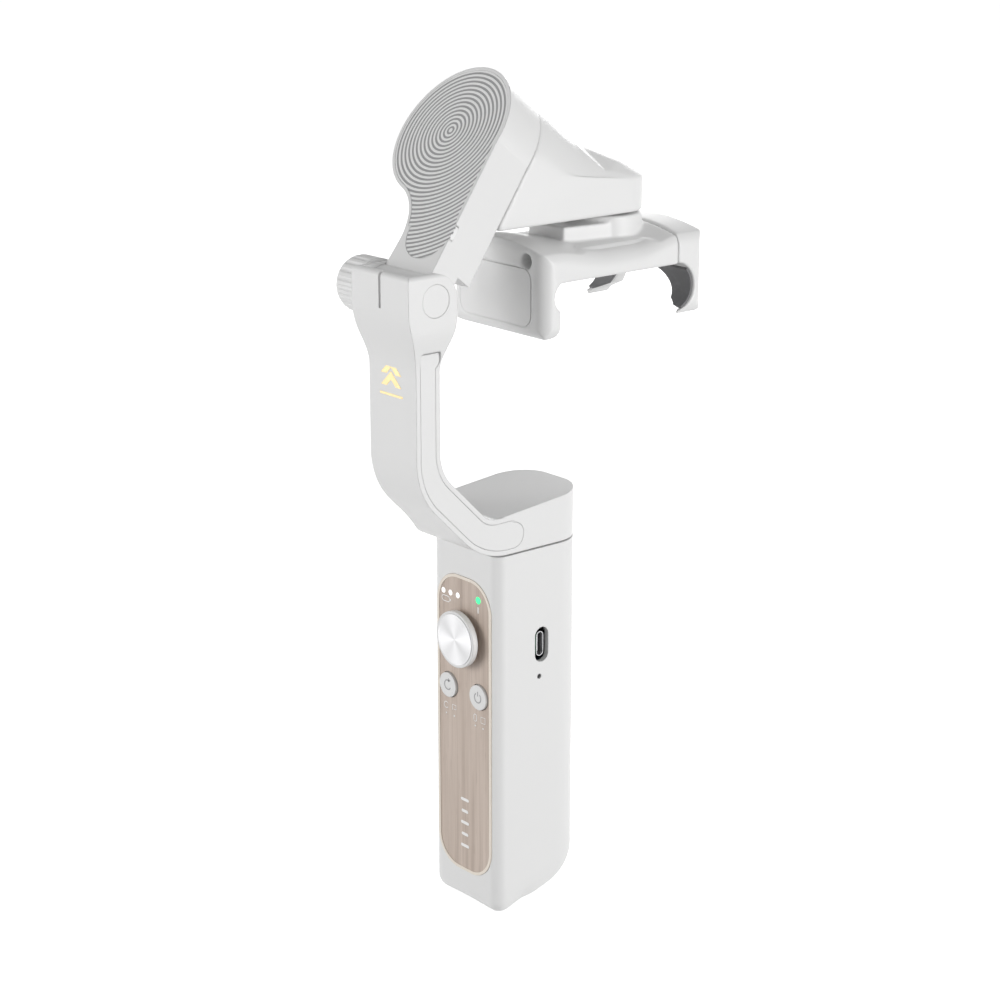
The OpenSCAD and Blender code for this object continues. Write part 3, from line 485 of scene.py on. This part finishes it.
@dataclass(frozen=True)
class CopperWinding:
    """Enamelled copper wire, wound in fine turns, with painted shade in the valleys between the turns."""

    colour: Rgb = (0.62, 0.30, 0.13)

    def make(self) -> bpy.types.Material:
        """Builds the material."""
        nodes = Nodes("copper_winding")
        offset = nodes.offset(Vector((0, 0, 0)))
        turns = (nodes.along(offset, Vector((0, 0, 1))) * (TURN / 0.0005)).sine() * 0.5 + 0.5
        tint = nodes.noise((500, 500, 500), 3)
        dark = tuple(c * 0.5 for c in self.colour)
        nodes.set(
            # Painted shade: the colour goes dark in the valleys between the turns.
            Base_Color=nodes.blend(1 - turns * (0.6 + 0.4 * tint), rgba(self.colour), rgba(dark)),
            Metallic=0.85,
            Roughness=0.28 + 0.2 * tint,
        )
        nodes.relief(turns, 0.00012)
        return nodes.material


@functools.cache
def corners_mm(node: str) -> tuple[tuple[float, ...], tuple[float, ...]]:
    """The lowest and highest corners of a node, in millimetres."""
    low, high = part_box(node)
    return tuple(low / MM), tuple(high / MM)


def spot(node: str) -> Vector:
    """The middle of a node's box."""
    low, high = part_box(node)
    return (low + high) / 2


def joint(name: str) -> dict:
    """The record's joint of that name."""
    return next(j for j in frame["joints"] if j["name"] == name)


def body_of(node: str) -> str:
    """The body that a node rides on."""
    bodies = frame["record"]["behaviour"]["bodies"]
    return next(body for body, nodes in bodies.items() if node in nodes)


def slot_of(node: str) -> str:
    """The record's material slot of a node."""
    rows = frame["record"]["subparts"]
    return next(row["material_slot"] for row in rows if row["node"] == node)


def paint(piece: bpy.types.Object, material: bpy.types.Material) -> None:
    """Gives a piece one material in all its slots."""
    if not piece.material_slots:
        piece.data.materials.append(material)
    for place in piece.material_slots:
        place.material = material


def arc(centre: Point, radius: float, start: float, end: float, count: int = 20) -> list[Point]:
    """Points on an arc, with its angles in degrees."""
    steps = [math.radians(start + (end - start) * i / count) for i in range(count + 1)]
    return [(centre[0] + radius * math.cos(a), centre[1] + radius * math.sin(a)) for a in steps]


def capsule(centre: Point, width: float, height: float) -> list[Point]:
    """Outline with round ends: a slot or a pill."""
    radius = min(width, height) / 2
    dx, dy = width / 2 - radius, height / 2 - radius
    x, y = centre
    if width > height:
        return arc((x + dx, y), radius, -90, 90) + arc((x - dx, y), radius, 90, 270)
    return arc((x, y + dy), radius, 0, 180) + arc((x, y - dy), radius, 180, 360)


def stroke(path: list[Point], width: float, closed: bool = False) -> list[list[Point]]:
    """A line of even width along a path.

    Args:
        path: The points that the line follows.
        width: The line's width.
        closed: Whether the last point joins the first.

    Returns:
        One four-sided outline for each stretch of the line.
    """
    count = len(path)
    sides = []
    for i, (x, y) in enumerate(path):
        before = path[i - 1] if i or closed else path[i]
        after = path[(i + 1) % count] if i + 1 < count or closed else path[i]
        run = Vector((after[0] - before[0], after[1] - before[1])).normalized() * width / 2
        sides.append(((x - run.y, y + run.x), (x + run.y, y - run.x)))
    stretches = range(count if closed else count - 1)
    return [[*sides[i], *reversed(sides[(i + 1) % count])] for i in stretches]


@dataclass
class Print:
    """A thin raised print or inlay on a flat face. Its outlines are in millimetres."""

    name: str
    origin: Vector
    right: Vector
    up: Vector
    body: str
    slot: Slot
    thickness: float = 0.00006
    outlines: list[list[Point]] = field(default_factory=list)

    def build(self, material: bpy.types.Material) -> bpy.types.Object:
        """Builds the print and dresses it.

        Args:
            material: Its ink or metal.

        Returns:
            The piece, riding on its body.
        """
        out = self.right.cross(self.up).normalized()
        mesh = bmesh.new()
        for outline in self.outlines:
            base = [self.origin + (self.right * x + self.up * y) * MM for x, y in outline]
            low = [mesh.verts.new(p - out * self.thickness) for p in base]
            top = [mesh.verts.new(p + out * self.thickness) for p in base]
            mesh.faces.new(top)
            mesh.faces.new(list(reversed(low)))
            for i in range(len(base)):
                k = (i + 1) % len(base)
                mesh.faces.new((low[i], low[k], top[k], top[i]))
        bmesh.ops.recalc_face_normals(mesh, faces=mesh.faces)
        data = bpy.data.meshes.new(self.name)
        mesh.to_mesh(data)
        mesh.free()
        piece = bpy.data.objects.new(self.name, data)
        bpy.context.scene.collection.objects.link(piece)
        paint(piece, material)
        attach(piece, self.body)
        log.info("%s: %d outlines", self.name, len(self.outlines))
        return piece


Ease = Callable[[Vector], Vector]


def ramp(value: float, low: float, high: float) -> float:
    """Rises smoothly from 0 at low to 1 at high."""
    t = min(max((value - low) / (high - low), 0.0), 1.0)
    return t * t * (3 - 2 * t)


def round_corner(a: float, b: float, edge_a: float, edge_b: float, radius: float) -> Point:
    """Pulls a point onto a rounded corner that lies below edge_a and edge_b.

    Args:
        a: First coordinate.
        b: Second coordinate.
        edge_a: Largest first coordinate, at the sharp corner.
        edge_b: Largest second coordinate, at the sharp corner.
        radius: The corner's radius.

    Returns:
        The point's new coordinates.
    """
    da, db = a - (edge_a - radius), b - (edge_b - radius)
    reach = math.hypot(da, db)
    if da <= 0 or db <= 0 or reach <= radius:
        return a, b
    return edge_a - radius + da * radius / reach, edge_b - radius + db * radius / reach


@dataclass
class Moulding:
    """A moulded housing with the soft edges that its tool leaves."""

    node: str
    voxel: float
    passes: int
    ease: Ease | None = None
    skin: tuple[list[Vector], list[tuple[int, ...]]] | None = None
    last_passes: int = 3

    def settle(self, mesh: bpy.types.Mesh, passes: int, voxel: float = 0.0) -> bpy.types.Mesh:
        """Applies a remesh and a smoothing to a mesh.

        Args:
            mesh: The mesh, which is used up.
            passes: How many smoothing passes.
            voxel: The remesh's grid, or 0 to leave the mesh as it is.

        Returns:
            The new mesh.
        """
        rough = bpy.data.objects.new("rough_form", mesh)
        bpy.context.scene.collection.objects.link(rough)
        if voxel:
            remesh = rough.modifiers.new("remesh", "REMESH")
            remesh.mode = "VOXEL"
            remesh.voxel_size = voxel
        smooth = rough.modifiers.new("smooth", "SMOOTH")
        smooth.factor = 0.5
        smooth.iterations = passes
        bpy.context.view_layer.update()
        ready = rough.evaluated_get(bpy.context.evaluated_depsgraph_get())
        done = bpy.data.meshes.new_from_object(ready)
        bpy.data.objects.remove(rough)
        return done

    def form(self) -> bpy.types.Mesh:
        """The node's form, with the skin added."""
        shape = bmesh.new()
        shape.from_mesh(frame["nodes"][self.node].data)
        if self.skin:
            points, faces = self.skin
            corners = [shape.verts.new(point) for point in points]
            for face in faces:
                shape.faces.new([corners[k] for k in face])
        bmesh.ops.remove_doubles(shape, verts=shape.verts, dist=1e-6)
        bmesh.ops.recalc_face_normals(shape, faces=shape.faces)
        data = bpy.data.meshes.new(self.node + "_form")
        shape.to_mesh(data)
        shape.free()
        return data

    def build(self, material: bpy.types.Material) -> bpy.types.Object:
        """Builds the housing from its node's form and eases its edges.

        Args:
            material: The housing's plastic.

        Returns:
            The piece, which stands for its node.
        """
        mesh = self.settle(self.form(), self.passes, self.voxel)
        if self.ease:
            for vertex in mesh.vertices:
                vertex.co = self.ease(vertex.co)
            mesh = self.settle(mesh, self.last_passes)
        return stand_in(self.node, mesh, material)


def stand_in(node: str, mesh: bpy.types.Mesh, material: bpy.types.Material) -> bpy.types.Object:
    """Makes a mesh the piece that stands for a CAD node.

    Args:
        node: The CAD node.
        mesh: Its finished shape.
        material: Its finish.

    Returns:
        The piece.
    """
    piece = bpy.data.objects.new(node + "_moulding", mesh)
    bpy.context.scene.collection.objects.link(piece)
    mesh.materials.clear()
    paint(piece, material)
    mesh.polygons.foreach_set("use_smooth", [True] * len(mesh.polygons))
    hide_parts(node)
    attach(piece, body_of(node))
    slot_of(node)
    log.info("%s: %d faces", piece.name, len(mesh.polygons))
    return piece


@dataclass
class Finishes:
    """Every finish of the object, one for each material slot."""

    made: dict[Slot, bpy.types.Material] = field(default_factory=dict)

    def make(self) -> None:
        """Builds all the finishes."""
        turn = joint("roll")
        axis = -Vector(turn["axis"]).normalized()
        top = Vector(turn["pos_m"])
        recipes = {
            Slot.WHITE_SHELL: MouldedPlastic("satin_shell"),
            Slot.RING_COVER: TurnedRings(top, axis),
            Slot.PANEL_TRIM: GlossTrim("cream_trim", (0.86, 0.78, 0.68)),
            Slot.WOOD_INLAY: WoodFilm(),
            Slot.WHITE_LAMP: LitWindow("lamp_white", spot("battery_lamps"), 0.008, (1, 1, 1), 0.6),
            Slot.GREEN_LAMP: LitWindow("lamp_green", spot("status_lamp"), 0.0016, (0.05, 0.9, 0.3), 1.0),
            Slot.DARK_PLASTIC: MouldedPlastic("black_moulding", (0.03, 0.03, 0.032), 0.5, coat=0.0),
            Slot.STEEL: WorkedMetal("turned_steel", (0.60, 0.60, 0.61)),
            Slot.BOARD: GlossTrim("solder_mask", (0.02, 0.16, 0.07), roughness=0.35),
            Slot.CELL_SLEEVE: GlossTrim("shrink_sleeve", (0.06, 0.18, 0.42), roughness=0.25),
            Slot.BRUSHED_DISC: SpunAluminium(spot("thumb_disc")),
            Slot.GREY_RUBBER: MatteRubber(),
            Slot.MOTOR_ALLOY: WorkedMetal("cast_alloy", (0.52, 0.52, 0.54), 0.42, (700, 700, 700), 0.00005),
            Slot.WINDING: CopperWinding(),
            Slot.MOTOR_BLACK: WorkedMetal("black_oxide", (0.05, 0.05, 0.055), 0.4),
            Slot.MAGNET: WorkedMetal("nickel_plate", (0.56, 0.55, 0.52), 0.2),
        }
        self.made = {place: recipe.make() for place, recipe in recipes.items()}

    def dress(self) -> None:
        """Puts each CAD node in the finish of its slot."""
        for name, node in frame["nodes"].items():
            paint(node, self.made[Slot(slot_of(name))])
            log.info("%s: %s", name, slot_of(name))


@dataclass
class Studio:
    """Pale floor, soft light and the camera."""

    eye: tuple[float, float, float] = (0.5879, -0.4953, 0.3745)
    turn: float = 50.0
    pitch: float = 16.6
    lens: float = 84.28
    floor_half: float = 14.0
    ambient: float = 0.42

    def build_camera(self) -> None:
        """Sets the camera at the viewing angle."""
        data = bpy.data.cameras.new("camera")
        data.lens = self.lens
        data.sensor_width = 36.0
        data.clip_start = 0.01
        data.clip_end = 100.0
        camera = bpy.data.objects.new("camera", data)
        camera.location = self.eye
        camera.rotation_euler = (math.radians(90 - self.pitch), 0, math.radians(self.turn))
        bpy.context.scene.collection.objects.link(camera)
        bpy.context.scene.camera = camera

    def build_floor(self) -> None:
        """Lays the floor, with a faint mottle."""
        half = self.floor_half
        corners = [(-half, -half, 0), (half, -half, 0), (half, half, 0), (-half, half, 0)]
        data = bpy.data.meshes.new("floor")
        data.from_pydata(corners, [], [(0, 1, 2, 3)])
        floor = bpy.data.objects.new("floor", data)
        floor.location.z = -0.0002
        bpy.context.scene.collection.objects.link(floor)
        nodes = Nodes("floor_paper")
        mottle = nodes.noise((6, 6, 6), 3)
        nodes.set(
            Base_Color=nodes.blend(mottle, rgba((0.93, 0.93, 0.93)), rgba((0.91, 0.91, 0.91))),
            Roughness=0.9 + 0.05 * mottle,
            Emission_Color=rgba((1, 1, 1)),
            Emission_Strength=0.64,
        )
        nodes.surface.inputs["Specular IOR Level"].default_value = 0.1
        paint(floor, nodes.material)
        floor.visible_diffuse = False

    def add_panel(self, name: str, place: Vector, width: float, height: float, power: float) -> None:
        """Adds a soft panel light aimed at the middle of the object."""
        data = bpy.data.lights.new(name, "AREA")
        data.shape = "RECTANGLE"
        data.size = width
        data.size_y = height
        data.energy = power
        lamp = bpy.data.objects.new(name, data)
        lamp.location = place
        aim = Vector((0, 0, 0.17)) - place
        lamp.rotation_euler = aim.to_track_quat("-Z", "Y").to_euler()
        bpy.context.scene.collection.objects.link(lamp)

    def build_light(self) -> None:
        """Sets the two side panels, the weak back panel and the even room light."""
        self.add_panel("light_right", Vector((1.5, 0.45, 0.22)), 0.9, 1.2, 21.5)
        self.add_panel("light_left", Vector((-0.75, -1.45, 0.3)), 0.9, 1.2, 17.0)
        self.add_panel("light_back", Vector((-0.9, 1.3, 0.5)), 0.8, 0.8, 6.0)
        world = bpy.data.worlds.new("room")
        world.use_nodes = True
        background = world.node_tree.nodes["Background"]
        background.inputs["Color"].default_value = rgba((1, 1, 1))
        background.inputs["Strength"].default_value = self.ambient
        bpy.context.scene.world = world
        bpy.context.scene.view_settings.view_transform = "Standard"


@dataclass
class Grip:
    """Handle with its inlaid panel: the printed signs on it and on its two keys."""

    line: float = 0.28
    sign_line: float = 0.42

    def panel_print(self, name: str, outlines: list[list[Point]], ink: bpy.types.Material) -> None:
        """Prints signs on the panel, placed by their x and z."""
        origin = Vector((0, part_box("panel_inlay")[0].y, 0))
        sign = Print(name, origin, Vector((1, 0, 0)), Vector((0, 0, 1)), "handle", Slot.WHITE_LAMP)
        sign.outlines = outlines
        sign.build(ink)

    def key_print(self, node: str, outlines: list[list[Point]], ink: bpy.types.Material) -> None:
        """Prints a sign on the middle of a key."""
        middle = spot(node)
        origin = Vector((middle.x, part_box(node)[0].y, middle.z))
        name = node + "_sign"
        sign = Print(name, origin, Vector((1, 0, 0)), Vector((0, 0, 1)), body_of(node), Slot.GREY_RUBBER)
        sign.outlines = outlines
        sign.build(ink)

    def build(self) -> None:
        """Prints the panel and the keys."""
        white = GlossTrim("white_ink", (0.93, 0.92, 0.91), roughness=0.45).make()
        grey = GlossTrim("grey_ink", (0.42, 0.42, 0.43), roughness=0.45).make()
        line = self.line
        battery = stroke(capsule((-9.9, 111.2), 4.2, 2.0), line, True)
        battery.append(capsule((-7.3, 111.2), 0.4, 0.9))
        self.panel_print("battery_sign", battery, white)
        self.panel_print("link_sign", [capsule((7.6, 111.4), 0.6, 2.4)], white)
        hints = stroke(arc((-10.0, 71.9), 1.15, 40, 330), line)
        hints += stroke([(-6.6, 70.9), (-6.6, 73.0), (-4.6, 73.0), (-4.6, 71.4), (-5.8, 71.4)], line)
        hints += [arc((-10.0, 68.9), 0.35, 0, 350, 10), arc((-5.6, 68.9), 0.35, 0, 350, 10)]
        hints += stroke(capsule((5.9, 71.8), 1.5, 2.6), line, True)
        hints += stroke([(9.0, 73.0), (11.2, 73.0), (11.2, 70.8), (9.0, 70.8)], line, True)
        hints += [arc((5.9, 68.9), 0.35, 0, 350, 10), arc((10.1, 68.9), 0.35, 0, 350, 10)]
        self.panel_print("key_hints", hints, white)
        bars = [capsule((0.0, 21.5 + 4.4 * i), 4.4 - 0.8 * (i % 2), 1.15) for i in range(5)]
        self.panel_print("maker_bars", bars, white)
        power = stroke(arc((0, -0.1), 1.7, 125, 415, 30), self.sign_line)
        power += stroke([(0, 0.5), (0, 2.2)], self.sign_line)
        self.key_print("power_button", power, grey)
        loop = stroke(arc((0, 0), 1.7, 60, 330, 30), self.sign_line)
        loop += [[(0.25, 1.0), (1.6, 1.75), (0.35, 2.5)]]
        self.key_print("mode_button", loop, grey)


@dataclass
class CurvedArm:
    """Curved arm, with a plain gold emblem on its front."""

    face_ahead_of_pin: float = 6.3
    emblem_middle: Point = (4.6, 197.0)

    def build(self) -> None:
        """Inlays the emblem: two chevrons over a short bar."""
        gold = GlossTrim("gold_foil", (0.83, 0.64, 0.33), 0.75, 0.3).make()
        x, z = self.emblem_middle
        front = joint("fold")["pos_m"][1] - self.face_ahead_of_pin * MM
        origin = Vector((x * MM, front, z * MM))
        outlines = [
            [(-5.4, 1.4), (-2.4, 1.4), (0.0, 3.6), (2.4, 1.4), (5.4, 1.4), (0.0, 6.4)],
            [(-5.4, -2.6), (-2.4, -2.6), (0.0, -0.4), (2.4, -2.6), (5.4, -2.6), (0.0, 2.4)],
            capsule((0, -5.4), 12.0, 0.8),
        ]
        right, up = Vector((1, 0, 0)), Vector((0, 0, 1))
        emblem = Print("gold_emblem", origin, right, up, "lower_arm_body", Slot.PANEL_TRIM)
        emblem.outlines = outlines
        emblem.build(gold)


@dataclass
class Foot:
    """The handle's round foot, which carries on the walls of its shell. Sizes in millimetres."""

    front_corner: float = 4.0
    back_corner: float = 13.0
    front_roll: float = 5.0
    side_roll: float = 10.0
    back_roll: float = 17.0
    hole: float = 5.5
    front_cut: float = 8.5
    back_cut: float = 19.0
    spokes: int = 160
    rings: int = 26

    def walls(self) -> tuple[float, float, float]:
        """Half width, front and back of the handle, in millimetres."""
        low, high = corners_mm("handle_shell")
        return high[0], low[1], high[1]

    def cut_height(self, y: float) -> float:
        """Height of the joint between the shell and its foot."""
        _, front, back = self.walls()
        return self.front_cut + (self.back_cut - self.front_cut) * (y - front) / (back - front)

    def outline(self) -> list[Point]:
        """Plan of the handle, as points at even steps round it."""
        half, front, back = self.walls()
        rf, rb = self.front_corner, self.back_corner
        path = arc((half - rf, front + rf), rf, -90, 0, 10) + arc((half - rb, back - rb), rb, 0, 90, 24)
        path += arc((-half + rb, back - rb), rb, 90, 180, 24) + arc((-half + rf, front + rf), rf, 180, 270, 10)
        path.append(path[0])
        lengths = [math.dist(a, b) for a, b in zip(path, path[1:])]
        points = []
        stretch, done = 0, 0.0
        for k in range(self.spokes):
            goal = sum(lengths) * k / self.spokes
            while done + lengths[stretch] < goal:
                done += lengths[stretch]
                stretch += 1
            t = (goal - done) / max(lengths[stretch], 1e-9)
            (ax, ay), (bx, by) = path[stretch], path[stretch + 1]
            points.append((ax + (bx - ax) * t, ay + (by - ay) * t))
        return points

    def ring(self, outline: list[Point], drop: float) -> list[Vector]:
        """One ring of the foot.

        Args:
            outline: The handle's plan.
            drop: How far down the foot it is, from 0 to 1.

        Returns:
            The ring's points, in metres.
        """
        _, front, back = self.walls()
        points = []
        for x, y in outline:
            z = self.cut_height(y) * (1 - drop)
            rear = (y - front) / (back - front)
            roll = self.front_roll + (self.side_roll - self.front_roll) * ramp(rear, 0, 0.35)
            roll += (self.back_roll - self.side_roll) * ramp(rear, 0.4, 0.9)
            inset = roll - math.sqrt(max(roll**2 - max(roll - z, 0) ** 2, 0))
            centre_y = 2.0
            reach = math.hypot(x, y - centre_y)
            keep = (reach - inset) / reach
            points.append(Vector((x * keep, centre_y + (y - centre_y) * keep, z)) * MM)
        return points

    def build(self, material: bpy.types.Material) -> None:
        """Cuts the shell above its foot and lofts the foot on to it."""
        shape = bmesh.new()
        shape.from_mesh(frame["nodes"]["handle_shell"].data)
        _, front, back = self.walls()
        slope = (self.back_cut - self.front_cut) / (back - front)
        bmesh.ops.bisect_plane(
            shape,
            geom=[*shape.verts, *shape.edges, *shape.faces],
            plane_co=Vector((0, front, self.front_cut)) * MM,
            plane_no=Vector((0, slope, -1)),
            clear_outer=True,
        )
        outline = self.outline()
        rings = [[shape.verts.new(p) for p in self.ring(outline, math.sin(k / self.rings * math.pi / 2))]
                 for k in range(self.rings + 1)]
        mouth = []
        for corner in rings[-1]:
            way = Vector((corner.co.x, corner.co.y, 0)).normalized()
            mouth.append(shape.verts.new(way * self.hole * MM))
        rings.append(mouth)
        count = self.spokes
        for upper, lower in zip(rings, rings[1:]):
            for k in range(count):
                shape.faces.new((upper[k], lower[k], lower[(k + 1) % count], upper[(k + 1) % count]))
        mesh = bpy.data.meshes.new("handle_form")
        shape.to_mesh(mesh)
        shape.free()
        piece = stand_in("handle_shell", mesh, material)
        piece.data.set_sharp_from_angle(angle=math.radians(32))


@dataclass
class CrossArm:
    """Arm from the upper motor to the lower one, with a domed top above a side crease."""

    voxel: float = 0.5 * MM
    root_x: float = -12.3
    root_half: float = 24.1
    tip_half: float = 13.4
    root_y: float = 3.0
    tip_y: float = 44.0
    ridge: tuple[Point, ...] = (
        (4, 294), (10, 285.5), (15, 279), (22.5, 271.5), (26.3, 268), (33.9, 264), (41, 261.5),
        (46.2, 260), (51.4, 258.2), (54.7, 256), (57.4, 253),
    )

    def ridge_height(self, y: float) -> float:
        """Height of the dome's ridge."""
        for (y0, z0), (y1, z1) in zip(self.ridge, self.ridge[1:]):
            if y <= y1:
                return z0 + (z1 - z0) * (y - y0) / (y1 - y0)
        return self.ridge[-1][1]

    def ease(self, point: Vector) -> Vector:
        """Lays a point of the top on the dome."""
        x, y, z = point / MM
        if y < self.ridge[0][0]:
            return point
        t = min((y - self.root_y) / (self.tip_y - self.root_y), 1.0)
        middle = self.root_x * (1 - t)
        half = self.root_half * (1 - t) + self.tip_half * t
        crease = 256.7 - 0.1226 * (y - 14)
        side = min(abs(x - middle) / half, 1.0)
        limit = crease + (self.ridge_height(y) - crease) * (1 - side**2.6)
        fade = ramp(y, 6, 24)
        if z > limit:
            z += (limit - z) * fade
        return Vector((x, y, z)) * MM

    def build(self, material: bpy.types.Material) -> None:
        """Builds the arm."""
        Moulding("cross_arm", self.voxel, 4, self.ease, last_passes=6).build(material)


@dataclass
class Clamp:
    """Phone clamp: the fixed block with its saddle-shaped top, and the sliding jaw."""

    voxel: float = 0.45 * MM
    crown: float = 80.0
    middle_top: float = 233.4
    block_lift: float = 3.4
    jaw_lift: float = 3.7
    long_edge: float = 6.0
    skin_depth: float = 2.3

    def spans(self) -> tuple[float, float, float]:
        """Half length, front and back of the closed clamp, in millimetres."""
        low, high = corners_mm("clamp_body")
        return high[0], low[1], corners_mm("sliding_jaw")[1][1]

    def top(self, x: float, y: float) -> float:
        """Height of the clamp's top."""
        _, front, _ = self.spans()
        lift = self.block_lift * (1 - ramp(y, front + 6, front + 30)) + self.jaw_lift * ramp(y, 40, 60)
        return self.middle_top + lift - x**2 / (2 * self.crown)

    def skin(self, start: float, end: float, half: float) -> tuple[list[Vector], list[tuple[int, ...]]]:
        """A closed skin under the top, from one depth to another.

        Args:
            start: Where it starts along the clamp's opening.
            end: Where it ends.
            half: Its half length.

        Returns:
            Its points and faces.
        """
        columns, rows = 33, 41
        points = []
        for down in (0.0, self.skin_depth):
            for i in range(columns):
                x = -half + 2 * half * i / (columns - 1)
                for k in range(rows):
                    y = start + (end - start) * k / (rows - 1)
                    points.append(Vector((x, y, self.top(x, y) - down)) * MM)
        layer = columns * rows
        faces: list[tuple[int, ...]] = []
        for i in range(columns - 1):
            for k in range(rows - 1):
                a = i * rows + k
                faces.append((a, a + rows, a + rows + 1, a + 1))
                faces.append((a + layer, a + layer + 1, a + layer + rows + 1, a + layer + rows))
        rim = [k for k in range(rows)] + [i * rows + rows - 1 for i in range(1, columns)]
        rim += [(columns - 1) * rows + k for k in range(rows - 2, -1, -1)]
        rim += [i * rows for i in range(columns - 2, 0, -1)]
        for a, b in zip(rim, [*rim[1:], rim[0]]):
            faces.append((a, b, b + layer, a + layer))
        return points, faces

    def ease(self, point: Vector) -> Vector:
        """Rounds the long edges, the ends' corners and the fingers' tips."""
        x, y, z = point / MM
        half, front, back = self.spans()
        side = math.copysign(1, x)
        wide = abs(x)
        bottom = corners_mm("clamp_body")[0][2]
        if z > self.middle_top - 9:
            edge = self.top(half - self.long_edge, y) + 0.6
            wide, z = round_corner(wide, z, half, edge, self.long_edge)
        ends_round = 5.0
        wide, out = round_corner(wide, -y, half, -front, ends_round)
        y = -out
        wide, y = round_corner(wide, y, half, back, ends_round)
        out, low = round_corner(y, -z, back, -bottom, 6.5)
        y, z = out, -low
        out, low = round_corner(-y, -z, -front, -bottom, 4.5)
        y, z = -out, -low
        if y > back - 16 and z < bottom + 14:
            wide, low = round_corner(wide, -z, half, -bottom, 6.0)
            z = -low
        return Vector((side * wide, y, z)) * MM

    def build(self, material: bpy.types.Material) -> None:
        """Builds the block and the jaw."""
        half, front, back = self.spans()
        seam = front + 60.2
        block_skin = self.skin(front + 0.3, seam, half - 0.4)
        jaw_skin = self.skin(seam + 0.5, back - 0.3, half - 0.4)
        Moulding("clamp_body", self.voxel, 8, self.ease, block_skin).build(material)
        Moulding("sliding_jaw", self.voxel, 8, self.ease, jaw_skin).build(material)


def main() -> None:
    """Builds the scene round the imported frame."""
    logging.basicConfig(level=logging.INFO, format="%(name)s %(message)s")
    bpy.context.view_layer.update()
    studio = Studio()
    studio.build_camera()
    studio.build_floor()
    studio.build_light()
    finishes = Finishes()
    finishes.make()
    finishes.dress()
    Grip().build()
    CurvedArm().build()
    shell = finishes.made[Slot.WHITE_SHELL]
    Foot().build(shell)
    CrossArm().build(shell)
    Clamp().build(shell)


if __name__ == "__main__":
    main()
